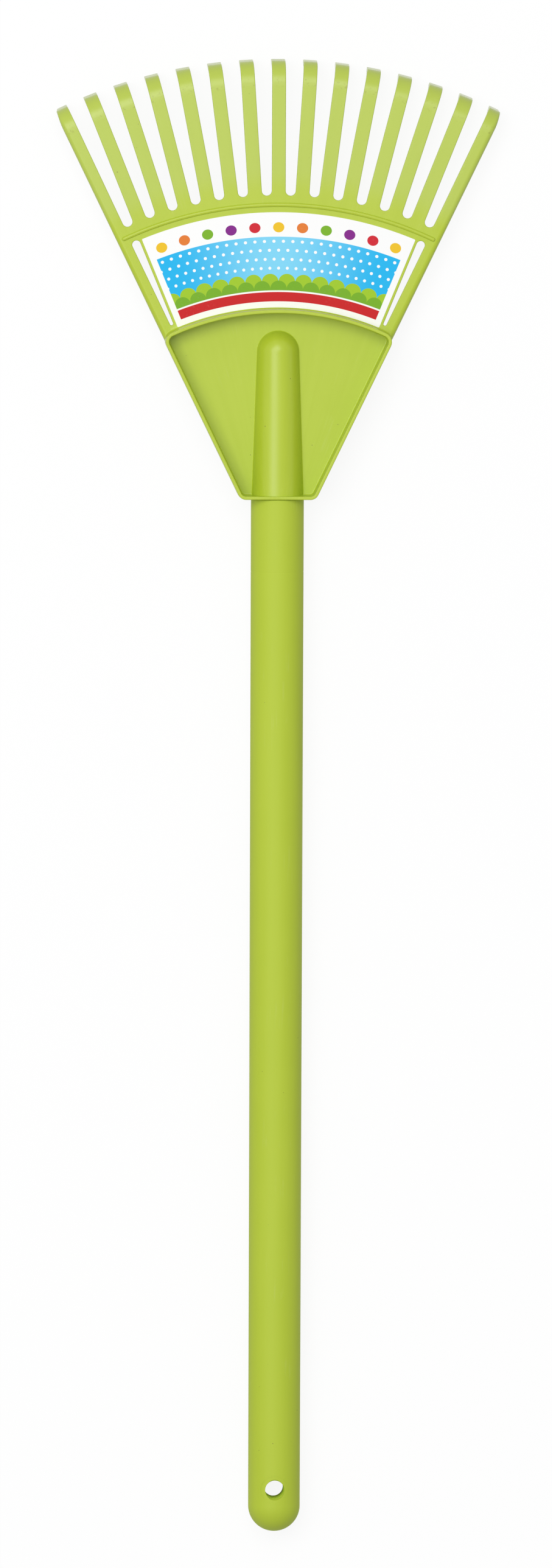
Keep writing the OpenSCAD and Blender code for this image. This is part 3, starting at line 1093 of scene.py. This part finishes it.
def fade(tree, value, low, high):
    """0 up to low, 1 from high on, with a smooth change between. Runs backwards where low is over high."""
    inputs = {"Value": value, "From Min": low, "From Max": high}
    return add_node(tree, "MapRange", inputs, interpolation_type="SMOOTHSTEP").outputs["Result"]


def noise(tree, vector, scale, detail=2.0):
    """Noise between 0 and 1, with a scale in waves a metre."""
    inputs = {"Vector": vector, "Scale": scale, "Detail": detail, "Roughness": noise_roughness}
    return add_node(tree, "TexNoise", inputs).outputs[0]


# %% Helpers for node groups
def new_group(name, inputs, outputs):
    """Empty node group, its given values and its results. Inputs are pairs of a name and a socket's kind."""
    tree = bpy.data.node_groups.new(name, "ShaderNodeTree")
    for socket_name, kind in inputs:
        tree.interface.new_socket(name=socket_name, in_out="INPUT", socket_type="NodeSocket" + kind)
    for socket_name in outputs:
        tree.interface.new_socket(name=socket_name, in_out="OUTPUT", socket_type="NodeSocketFloat")
    return tree, tree.nodes.new("NodeGroupInput").outputs, tree.nodes.new("NodeGroupOutput").inputs


def use_group(tree, group, inputs):
    """Places a group in a material and gives its outputs."""
    return add_node(tree, "Group", inputs, node_tree=group).outputs


# %% Group for places on the fan
def make_fan_place():
    """Radius from the fan's centre and angle from its middle line."""
    tree, given, result = new_group("fan_place", [("Position", "Vector")], ["Radius", "Angle"])
    parts = parts_from(tree, given["Position"], fan_centre)
    tree.links.new(hypotenuse(tree, parts["X"], parts["Y"]), result["Radius"])
    tree.links.new(calc(tree, "ARCTAN2", parts["X"], parts["Y"]), result["Angle"])
    return tree


fan_place = make_fan_place()
print("group", fan_place.name, "has", len(fan_place.nodes), "nodes")

# %% Group for moulded plastic
peel_scale = 520
peel_detail = 1.0
peel_share = 0.8
streak_scale = 190
streak_detail = 3.0
cloud_scale = 34
cloud_share = 0.7
tone_range = (0.55, 1.15)
gloss_range = (0.7, 1.3)


def make_moulded_skin():
    """Satin grain from the mould, streaks that follow the plastic's flow, and slow changes in gloss."""
    inputs = [("Position", "Vector"), ("Flow", "Vector"), ("Grain Scale", "Float")]
    tree, given, result = new_group("moulded_skin", inputs, ["Height", "Tone", "Gloss"])
    grain = noise(tree, given["Position"], given["Grain Scale"])
    peel = noise(tree, given["Position"], peel_scale, peel_detail)
    streak = noise(tree, given["Flow"], streak_scale, streak_detail)
    cloud = noise(tree, given["Position"], cloud_scale)
    tree.links.new(calc(tree, "MULTIPLY_ADD", peel, peel_share, grain), result["Height"])
    clouded_streak = calc(tree, "MULTIPLY_ADD", cloud, cloud_share, streak)
    tree.links.new(fade(tree, clouded_streak, *tone_range), result["Tone"])
    tree.links.new(fade(tree, calc(tree, "ADD", cloud, streak), *gloss_range), result["Gloss"])
    return tree


moulded_skin = make_moulded_skin()
print("group", moulded_skin.name, "has", len(moulded_skin.nodes), "nodes")

# %% Group for the marks of handling
largest_speck = 0.05
scratch_scale = 900
scratch_detail = 1.0
scratch_range = (0.56, 0.70)
patch_scale = 60
patch_range = (0.52, 0.68)
smudge_scale = 650
smudge_detail = 4.0
smudge_range = (0.56, 0.70)


def make_handling_marks():
    """Tiny dark specks, faint scuffs along one direction, and brownish smudges."""
    inputs = [("Position", "Vector"), ("Flow", "Vector"), ("Speck Scale", "Float")]
    tree, given, result = new_group("handling_marks", inputs, ["Specks", "Scuffs", "Smudges"])
    cell_inputs = {"Vector": given["Position"], "Scale": given["Speck Scale"]}
    cells = add_node(tree, "TexVoronoi", cell_inputs).outputs
    chosen = add_node(tree, "SeparateColor", {0: cells["Color"]}).outputs["Red"]
    size = calc(tree, "MULTIPLY", chosen, largest_speck)
    tree.links.new(calc(tree, "LESS_THAN", cells["Distance"], size), result["Specks"])
    scratch = fade(tree, noise(tree, given["Flow"], scratch_scale, scratch_detail), *scratch_range)
    patch = fade(tree, noise(tree, given["Position"], patch_scale), *patch_range)
    tree.links.new(calc(tree, "MULTIPLY", scratch, patch), result["Scuffs"])
    smudge = fade(tree, noise(tree, given["Position"], smudge_scale, smudge_detail), *smudge_range)
    tree.links.new(smudge, result["Smudges"])
    return tree


handling_marks = make_handling_marks()
print("group", handling_marks.name, "has", len(handling_marks.nodes), "nodes")

# %% [markdown]
# ## Lime plastic
# The plastic is coloured through, with a satin gloss. A single colour would look like paint, so two close
# greens follow the flow streaks, specks and scuffs lie over them, and the grain moves the normal and the
# gloss. In the head the plastic flowed out along the tines, so the streaks there run along the fan's
# radii, and the bends of the hooks have brownish smudges and a pale painted highlight. In the handle they
# run along it, and the wall of the hanging hole gets painted light.

# %% Helpers for finishes
def new_finish(name):
    """New material, its nodes, its Principled shader and the place on the surface."""
    material = bpy.data.materials.new(name)
    material.use_nodes = True
    tree = material.node_tree
    position = add_node(tree, "TexCoord", {}).outputs["Object"]
    return material, tree, tree.nodes["Principled BSDF"], position


def set_finish(objects, material):
    """Gives objects one material only."""
    for obj in objects:
        obj.data.materials.clear()
        obj.data.materials.append(material)


def tint(tree, share, first, second):
    """The first colour, mixed towards the second by a share."""
    return add_node(tree, "Mix", {0: share, 6: first, 7: second}, data_type="RGBA").outputs[2]


def stain(tree, mask, share, first, second):
    """The first colour, mixed towards the second by a share of a mask."""
    return tint(tree, calc(tree, "MULTIPLY", mask, share), first, second)


def dress(tree, shader, colour, rough, height, depth, strength):
    """Gives a shader its colour, its roughness, and a normal that a height moves."""
    bump = add_node(tree, "Bump", {"Height": height, "Distance": depth, "Strength": strength})
    for socket, value in (("Base Color", colour), ("Roughness", rough), ("Normal", bump.outputs["Normal"])):
        tree.links.new(value, shader.inputs[socket])


# %% Lime plastic for head and handle
lime_deep = (0.439, 0.553, 0.034, 1)
lime_pale = (0.455, 0.568, 0.040, 1)
# Pale tone of the scuffs, also used for the painted highlight at the bends of the hooks
scuff_and_highlight_pale = (0.600, 0.660, 0.250, 1)
speck_brown = (0.150, 0.120, 0.030, 1)
scuff_share = 0.10
speck_share = 0.7
grain_scale = 2600
speck_scale = 165
satin_change = 0.05
scuff_dullness = 0.05
satin_specular = 0.4
skin_depth = 0.006 * mm
skin_strength = 0.6


def lime_plastic(name, roughness, flow_of, local_wear_and_light):
    """Lime plastic whose streaks follow flow_of. The last argument changes its colour and its gloss in
    places, with wear and with painted light.
    """
    material, tree, shader, position = new_finish(name)
    flow = flow_of(tree, position)
    skin = use_group(tree, moulded_skin, {"Position": position, "Flow": flow, "Grain Scale": grain_scale})
    marks = use_group(tree, handling_marks, {"Position": position, "Flow": flow, "Speck Scale": speck_scale})
    colour = tint(tree, skin["Tone"], lime_deep, lime_pale)
    colour = stain(tree, marks["Scuffs"], scuff_share, colour, scuff_and_highlight_pale)
    gloss = calc(tree, "MULTIPLY_ADD", skin["Gloss"], satin_change, roughness)
    colour, gloss = local_wear_and_light(tree, position, marks, colour, gloss)
    colour = stain(tree, marks["Specks"], speck_share, colour, speck_brown)
    rough = calc(tree, "MULTIPLY_ADD", marks["Scuffs"], scuff_dullness, gloss)
    dress(tree, shader, colour, rough, skin["Height"], skin_depth, skin_strength)
    shader.inputs["Specular IOR Level"].default_value = satin_specular
    return material


# %% Wear and painted highlight of the hooks
tine_pale = (0.470, 0.576, 0.130, 1)
smudge_brown = (0.270, 0.270, 0.040, 1)
# The tines turn paler from the roots of the gaps outwards
paler_out_length = 14 * mm
paler_out_share = 0.45
# Painted highlight and smudges: bands round the start of the bend, and how far their soft edges reach
bend_highlight_before = 0.6 * mm
bend_highlight_after = 0.8 * mm
bend_highlight_soft = 1.4 * mm
bend_highlight_share = 0.06
smudge_before = 1.0 * mm
smudge_after = 1.5 * mm
smudge_soft = 2.0 * mm
smudge_share = 0.40
# Distances from the tips where the polish starts and where it is full
polish_start = 2.6 * mm
polish_full = 1.8 * mm
polish_change = -0.15


def band(tree, value, low, high, soft):
    """1 between two numbers, with soft edges outside them."""
    rise = fade(tree, value, low - soft, low)
    return calc(tree, "MULTIPLY", rise, fade(tree, value, high + soft, high))


def hook_wear_and_highlight(tree, position, marks, colour, gloss):
    """Tines paler outwards, a painted highlight and smudges where the hooks bend, and polished faces below
    the bends.
    """
    radius = use_group(tree, fan_place, {"Position": position})["Radius"]
    # Paler outwards along the tines
    paler_out_mask = fade(tree, radius, gap_root_radius, gap_root_radius + paler_out_length)
    # Painted highlight: a band round the start of each hook's bend
    bend_painted_highlight = band(tree, radius, bend_start - bend_highlight_before, bend_start + bend_highlight_after, bend_highlight_soft)
    smudged = band(tree, radius, bend_start - smudge_before, bend_start + smudge_after, smudge_soft)
    smudges = calc(tree, "MULTIPLY", marks["Smudges"], smudged)
    polished = fade(tree, radius, tip_radius - polish_start, tip_radius - polish_full)
    colour = stain(tree, paler_out_mask, paler_out_share, colour, tine_pale)
    # The painted highlight makes the start of each bend paler
    colour = stain(tree, bend_painted_highlight, bend_highlight_share, colour, scuff_and_highlight_pale)
    colour = stain(tree, smudges, smudge_share, colour, smudge_brown)
    return colour, calc(tree, "MULTIPLY_ADD", polished, polish_change, gloss)


# %% Finish the head and the tines
head_roughness = 0.31
flow_stretch = 0.05
flow_radius = 0.19


def fan_flow(tree, position):
    """Flow along the fan's radii."""
    fan = use_group(tree, fan_place, {"Position": position})
    across = calc(tree, "MULTIPLY", fan["Angle"], flow_radius)
    along = calc(tree, "MULTIPLY", fan["Radius"], flow_stretch)
    height = add_node(tree, "SeparateXYZ", {0: position}).outputs["Z"]
    return add_node(tree, "CombineXYZ", {0: across, 1: along, 2: height}).outputs[0]


head_lime = lime_plastic("head_lime_plastic", head_roughness, fan_flow, hook_wear_and_highlight)
set_finish([head] + tines, head_lime)
print(head_lime.name, "has", len(head_lime.node_tree.nodes), "nodes")

# %% Finish the handle
handle_roughness = 0.58
# Painted light on the wall of the hanging hole
hole_painted_light = (0.700, 0.860, 0.070, 1)
# Where the hole's wall gets painted light and a matt face: round the hole's edge, and over the handle's axis
wall_full_gap = 0.2 * mm
wall_end_gap = 0.7 * mm
wall_full_height = 10.4 * mm
wall_end_height = 11.6 * mm
wall_dullness = 0.3


def handle_flow(tree, position):
    """Flow along the handle."""
    inputs = {0: position, 1: (1.0, flow_stretch, 1.0)}
    return add_node(tree, "VectorMath", inputs, operation="MULTIPLY").outputs[0]


def hole_wall_light_and_matt(tree, position, marks, colour, gloss):
    """The hanging hole's wall is matt and has painted light: a paler green, as if lit deep inside."""
    parts = parts_from(tree, position, hole_place + fan_centre)
    distance = hypotenuse(tree, parts["X"], parts["Y"])
    near = fade(tree, distance, hang_hole_radius + wall_end_gap, hang_hole_radius + wall_full_gap)
    wall = calc(tree, "MULTIPLY", near, fade(tree, parts["Z"], wall_end_height, wall_full_height))
    # Painted light: the wall is coloured paler, in place of light that reaches into the hole
    colour = tint(tree, wall, colour, hole_painted_light)
    return colour, calc(tree, "MULTIPLY_ADD", wall, wall_dullness, gloss)


handle_lime = lime_plastic("handle_lime_plastic", handle_roughness, handle_flow, hole_wall_light_and_matt)
set_finish([handle], handle_lime)
print(handle_lime.name, "has", len(handle_lime.node_tree.nodes), "nodes")

# %% [markdown]
# ## The printed film
# The label has a white margin round a bright print. This print is a plain design: coloured discs along
# the top, a blue field with white dots, two rows of green scallops, and a red stripe along the bottom,
# all curved with the fan. It is drawn with Math nodes on the radius and the arc, in millimetres, so its
# edges stay sharp at any size.

# %% Sizes of the print, in millimetres
print_margin = 3.0
print_low = label_inner_radius / mm + print_margin
print_high = label_outer_radius / mm - print_margin
print_radius = (print_low + print_high) / 2
edge_soft = 0.06
stripe_width = 4.6
stripe_gap = 0.8
stripe_high = print_low + stripe_width
scallop_width = 8.8
scallop_height_share = 0.9
scallop_rises = (9.6, 6.2)
discs_height = 9.0
field_high = print_high - discs_height
sky_half_length = 52.0
dot_spacing = 4.4
dot_share = 0.17
dot_soft_share = 0.01
disc_inset = 4.4
disc_spacing = 10.6
disc_size = 2.5
print("print:", round(print_high - print_low, 1), "mm high")

# %% Colours of the print
film_white = (0.93, 0.93, 0.925, 1)
print_red = (0.560, 0.002, 0.004, 1)
print_blue = (0.003, 0.450, 0.830, 1)
print_sky = (0.210, 0.650, 0.890, 1)
print_greens = ((0.330, 0.550, 0.012, 1), (0.170, 0.400, 0.008, 1))
disc_colours = (
    (0.83, 0.52, 0.010, 1),
    (0.74, 0.190, 0.020, 1),
    (0.180, 0.420, 0.010, 1),
    (0.210, 0.006, 0.230, 1),
    (0.600, 0.006, 0.020, 1),
)
print("discs in", len(disc_colours), "colours")


# %% Motifs of the print
def over(tree, value, edge, soft=edge_soft):
    """1 where a value is over an edge, with a soft change."""
    return fade(tree, value, edge - soft, edge + soft)


def under(tree, value, edge, soft=edge_soft):
    """1 where a value is under an edge, with a soft change."""
    return fade(tree, value, edge + soft, edge - soft)


def from_middle(tree, steps):
    """Place inside a step of a row, from -0.5 to 0.5."""
    return calc(tree, "SUBTRACT", calc(tree, "FRACT", steps), 0.5)


def scallop_row(tree, arc_length, radius, foot, offset):
    """1 under a row of half-round scallops that stand on a radius."""
    step = calc(tree, "ADD", calc(tree, "DIVIDE", arc_length, scallop_width), offset)
    across = from_middle(tree, step)
    rise = calc(tree, "SQRT", calc(tree, "SUBTRACT", 0.25, calc(tree, "MULTIPLY", across, across)))
    edge = calc(tree, "MULTIPLY_ADD", rise, scallop_height_share * scallop_width, foot)
    return over(tree, calc(tree, "SUBTRACT", edge, radius), 0.0)


def dot_rows(tree, arc_length, radius):
    """1 inside white dots, whose rows stand half a step apart."""
    row = calc(tree, "DIVIDE", radius, dot_spacing)
    shift = calc(tree, "MULTIPLY", calc(tree, "FLOOR", row), 0.5)
    step = calc(tree, "ADD", calc(tree, "DIVIDE", arc_length, dot_spacing), shift)
    distance = hypotenuse(tree, from_middle(tree, step), from_middle(tree, row))
    return under(tree, distance, dot_share, dot_soft_share)


def disc_row(tree, arc_length, radius):
    """1 inside the discs, and the colour of each disc."""
    step = calc(tree, "ADD", calc(tree, "DIVIDE", arc_length, disc_spacing), 0.5)
    x = calc(tree, "MULTIPLY", from_middle(tree, step), disc_spacing)
    y = calc(tree, "SUBTRACT", radius, print_high - disc_inset)
    mask = under(tree, hypotenuse(tree, x, y), disc_size)
    count = len(disc_colours)
    number = calc(tree, "FLOORED_MODULO", calc(tree, "FLOOR", step), count)
    ramp_node = add_node(tree, "ValToRGB", {0: calc(tree, "DIVIDE", calc(tree, "ADD", number, 0.5), count)})
    ramp = ramp_node.color_ramp
    ramp.interpolation = "CONSTANT"
    for i, colour in enumerate(disc_colours):
        stop = ramp.elements.new(i / count) if i else ramp.elements[0]
        stop.color = colour
    ramp.elements.remove(ramp.elements[-1])
    return mask, ramp_node.outputs["Color"]


# %% Layers of the print
def printed_colour(tree, arc_length, radius):
    """The print from its lowest layer to its highest, without the margin."""
    centre_share = fade(tree, calc(tree, "ABSOLUTE", arc_length), 0.0, sky_half_length)
    colour = tint(tree, centre_share, print_sky, print_blue)
    colour = tint(tree, dot_rows(tree, arc_length, radius), colour, film_white)
    colour = tint(tree, over(tree, radius, field_high), colour, film_white)
    for row, rise in enumerate(scallop_rises):
        mask = scallop_row(tree, arc_length, radius, print_low + rise, 0.5 * row)
        colour = tint(tree, mask, colour, print_greens[row])
    colour = tint(tree, under(tree, radius, stripe_high + stripe_gap), colour, film_white)
    colour = tint(tree, under(tree, radius, stripe_high), colour, print_red)
    mask, disc_colour = disc_row(tree, arc_length, radius)
    return tint(tree, mask, colour, disc_colour)


def inside_margin(tree, position, radius):
    """1 inside the white margin, which follows the label's arches and its side edges."""
    arches = calc(tree, "MULTIPLY", over(tree, radius, print_low), under(tree, radius, print_high))
    parts = parts_from(tree, position, fan_centre)
    edge_x = calc(tree, "MULTIPLY_ADD", parts["Y"], label_slope, label_foot_x)
    across = calc(tree, "SUBTRACT", edge_x, calc(tree, "ABSOLUTE", parts["X"]))
    side_distance = calc(tree, "MULTIPLY", across, math.cos(label_lean) / mm)
    return calc(tree, "MULTIPLY", arches, over(tree, side_distance, print_margin))


# %% Finish the label
film_roughness = 0.42
film_specular = 0.25
film_scuff_share = 0.03
film_scuff_dullness = 0.15
ripple_scale = 75
ripple_depth = 0.03 * mm
ripple_strength = 0.5


def printed_film():
    """Printed film with a few scuffs and slight ripples."""
    material, tree, shader, position = new_finish("printed_film")
    fan = use_group(tree, fan_place, {"Position": position})
    radius = calc(tree, "DIVIDE", fan["Radius"], mm)
    arc_length = calc(tree, "MULTIPLY", fan["Angle"], print_radius)
    colour = printed_colour(tree, arc_length, radius)
    colour = tint(tree, inside_margin(tree, position, radius), film_white, colour)
    marks = use_group(tree, handling_marks, {"Position": position, "Flow": position})
    colour = stain(tree, marks["Scuffs"], film_scuff_share, colour, film_white)
    rough = calc(tree, "MULTIPLY_ADD", marks["Scuffs"], film_scuff_dullness, film_roughness)
    dress(tree, shader, colour, rough, noise(tree, position, ripple_scale), ripple_depth, ripple_strength)
    shader.inputs["Specular IOR Level"].default_value = film_specular
    return material


film = printed_film()
set_finish([label], film)
print(film.name, "has", len(film.node_tree.nodes), "nodes")

# %% [markdown]
# ## The screw
# The screw under the socket is zinc-plated steel. Its solid already has the right shape with a cross
# recess, so it stays as it is in the frame and only gets a finish: a grey metal with the fine rings that
# turning leaves, dulled where hands and tools have rubbed it.

# %% Finish the screw
zinc_dark = (0.47, 0.48, 0.49, 1)
zinc_pale = (0.62, 0.63, 0.63, 1)
zinc_smudge = (0.30, 0.29, 0.27, 1)
zinc_smudge_share = 0.5
zinc_smudge_dullness = 0.2
zinc_roughness = 0.28
turning_scale = 3500
turning_depth = 0.01 * mm
turning_strength = 0.4


def zinc_steel():
    """Plated steel with turning rings round the screw's axis and a few smudges."""
    material, tree, shader, position = new_finish("zinc_steel")
    parts = parts_from(tree, position, screw_place + fan_centre)
    distance = hypotenuse(tree, parts["X"], parts["Y"])
    rings = add_node(tree, "CombineXYZ", {0: distance, 1: 0.0, 2: parts["Z"]}).outputs[0]
    turning = noise(tree, rings, turning_scale)
    marks = use_group(tree, handling_marks, {"Position": position, "Flow": position})
    colour = tint(tree, turning, zinc_dark, zinc_pale)
    colour = stain(tree, marks["Smudges"], zinc_smudge_share, colour, zinc_smudge)
    rough = calc(tree, "MULTIPLY_ADD", marks["Smudges"], zinc_smudge_dullness, zinc_roughness)
    dress(tree, shader, colour, rough, turning, turning_depth, turning_strength)
    shader.inputs["Metallic"].default_value = 1.0
    return material


screw = bpy.data.objects["fixing_screw"]
set_finish([screw], zinc_steel())
print("screw finish on", screw.name)

# %% [markdown]
# ## Camera, light and floor
# The photograph looks down on the labelled face from far away, a few degrees off square, in even soft
# light like that of a white photo tent. A long lens at a great distance gives the same flat perspective.
# A big soft lamp overhead and a pale world stand for the tent, and the floor shows white to the camera
# while it keeps the rake's faint shadow.

# %% Set the camera
photo_height = 2576
metres_per_pixel = 0.2991 * mm
camera_distance = 12.0
camera_tilt_y = math.radians(3.6)
camera_tilt_x = math.radians(-2.1)
camera_roll = math.radians(0.2)
camera_target = Vector((-0.3 * mm, 6.4 * mm, 16 * mm))


def tilted(tilt_x, tilt_y):
    """Direction that leans from straight up by two angles."""
    return Vector((math.tan(tilt_x), math.tan(tilt_y), 1)).normalized()


camera_data = bpy.data.cameras.new("photo_camera")
camera_data.sensor_width = 36.0
camera_data.lens = camera_data.sensor_width * camera_distance / (photo_height * metres_per_pixel)
camera_data.clip_end = 100.0
camera = bpy.data.objects.new("photo_camera", camera_data)
bpy.context.collection.objects.link(camera)
camera_back = tilted(camera_tilt_x, camera_tilt_y)
camera_right = along_handle.cross(camera_back).normalized()
camera_up = camera_back.cross(camera_right)
camera_turn = Matrix((camera_right, camera_up, camera_back)).transposed()
camera_turn = camera_turn @ Matrix.Rotation(camera_roll, 3, "Z")
camera_place = camera_target + camera_back * camera_distance
camera.matrix_world = Matrix.Translation(camera_place) @ camera_turn.to_4x4()
bpy.context.scene.camera = camera
bpy.context.scene.view_settings.view_transform = "Standard"
print("lens", round(camera_data.lens, 1), "mm at", camera_distance, "m")

# %% Light the rake
white = (1, 1, 1, 1)
key_tilt_x = math.radians(-14)
key_tilt_y = math.radians(17)
key_distance = 3.6
key_width = 3.2
key_height = 2.0
key_power = 94
tent_strength = 0.42


def area_lamp(name, location, width, height, power):
    """Rectangular lamp that shines on the middle of the rake and isn't seen by the camera."""
    data = bpy.data.lights.new(name, "AREA")
    data.shape = "RECTANGLE"
    data.size = width
    data.size_y = height
    data.energy = power
    lamp = bpy.data.objects.new(name, data)
    lamp.location = location
    lamp.rotation_euler = (-location).to_track_quat("-Z", "Y").to_euler()
    lamp.visible_camera = False
    bpy.context.collection.objects.link(lamp)


def looked_at(tree):
    """1 for rays from the camera, or from there by way of a reflection or a clear body."""
    rays = add_node(tree, "LightPath", {}).outputs
    mirrored_or_clear = calc(tree, "MAXIMUM", rays["Is Glossy Ray"], rays["Is Transmission Ray"])
    return calc(tree, "MAXIMUM", rays["Is Camera Ray"], mirrored_or_clear)


def mix_shaders(tree, share, first, second):
    """The first shader, mixed with the second by a share."""
    return add_node(tree, "MixShader", {0: share, 1: first.outputs[0], 2: second.outputs[0]})


area_lamp("tent_key", tilted(key_tilt_x, key_tilt_y) * key_distance, key_width, key_height, key_power)
world = bpy.data.worlds.new("tent")
bpy.context.scene.world = world
world.use_nodes = True
tent = world.node_tree
tent_light = add_node(tent, "Background", {"Color": white, "Strength": tent_strength})
tent_seen = add_node(tent, "Background", {"Color": white, "Strength": 1.0})
tent_mix = mix_shaders(tent, looked_at(tent), tent_light, tent_seen)
tent.links.new(tent_mix.outputs[0], tent.nodes["World Output"].inputs["Surface"])
tent.nodes.remove(tent.nodes["Background"])
print("key lamp of", key_power, "W,", key_width, "by", key_height, "m, tent at", tent_strength)

# %% Lay the floor
floor_grey = (0.5, 0.5, 0.5, 1)
floor_white = (0.95, 0.95, 0.95, 1)
floor_roughness = 0.9
floor_glow = 0.9
shadow_reach = 0.8
white_reach = 2.0
floor_half = 10.0


def floor_paper():
    """White paper that keeps a trace of the shadow near the rake, and is clear from below."""
    material, tree, paper, position = new_finish("floor_paper")
    seen = looked_at(tree)
    distance = add_node(tree, "VectorMath", {0: position}, operation="LENGTH").outputs["Value"]
    far = fade(tree, distance, shadow_reach, white_reach)
    tree.links.new(tint(tree, seen, floor_grey, floor_white), paper.inputs["Base Color"])
    paper.inputs["Roughness"].default_value = floor_roughness
    glow = add_node(tree, "Emission", {"Color": white, "Strength": 1.0})
    glow_share = calc(tree, "MULTIPLY_ADD", far, 1 - floor_glow, floor_glow)
    front = mix_shaders(tree, calc(tree, "MULTIPLY", seen, glow_share), paper, glow)
    below = add_node(tree, "NewGeometry", {}).outputs["Backfacing"]
    sides = mix_shaders(tree, below, front, add_node(tree, "BsdfTransparent", {}))
    tree.links.new(sides.outputs[0], tree.nodes["Material Output"].inputs["Surface"])
    return material


floor_mesh = bpy.data.meshes.new("floor")
floor_signs = ((-1, -1), (1, -1), (1, 1), (-1, 1))
floor_corners = [(x * floor_half, y * floor_half, 0) for x, y in floor_signs]
floor_mesh.from_pydata(floor_corners, [], [(0, 1, 2, 3)])
floor = bpy.data.objects.new("floor", floor_mesh)
bpy.context.collection.objects.link(floor)
floor_mesh.materials.append(floor_paper())
print("floor", 2 * floor_half, "m wide")
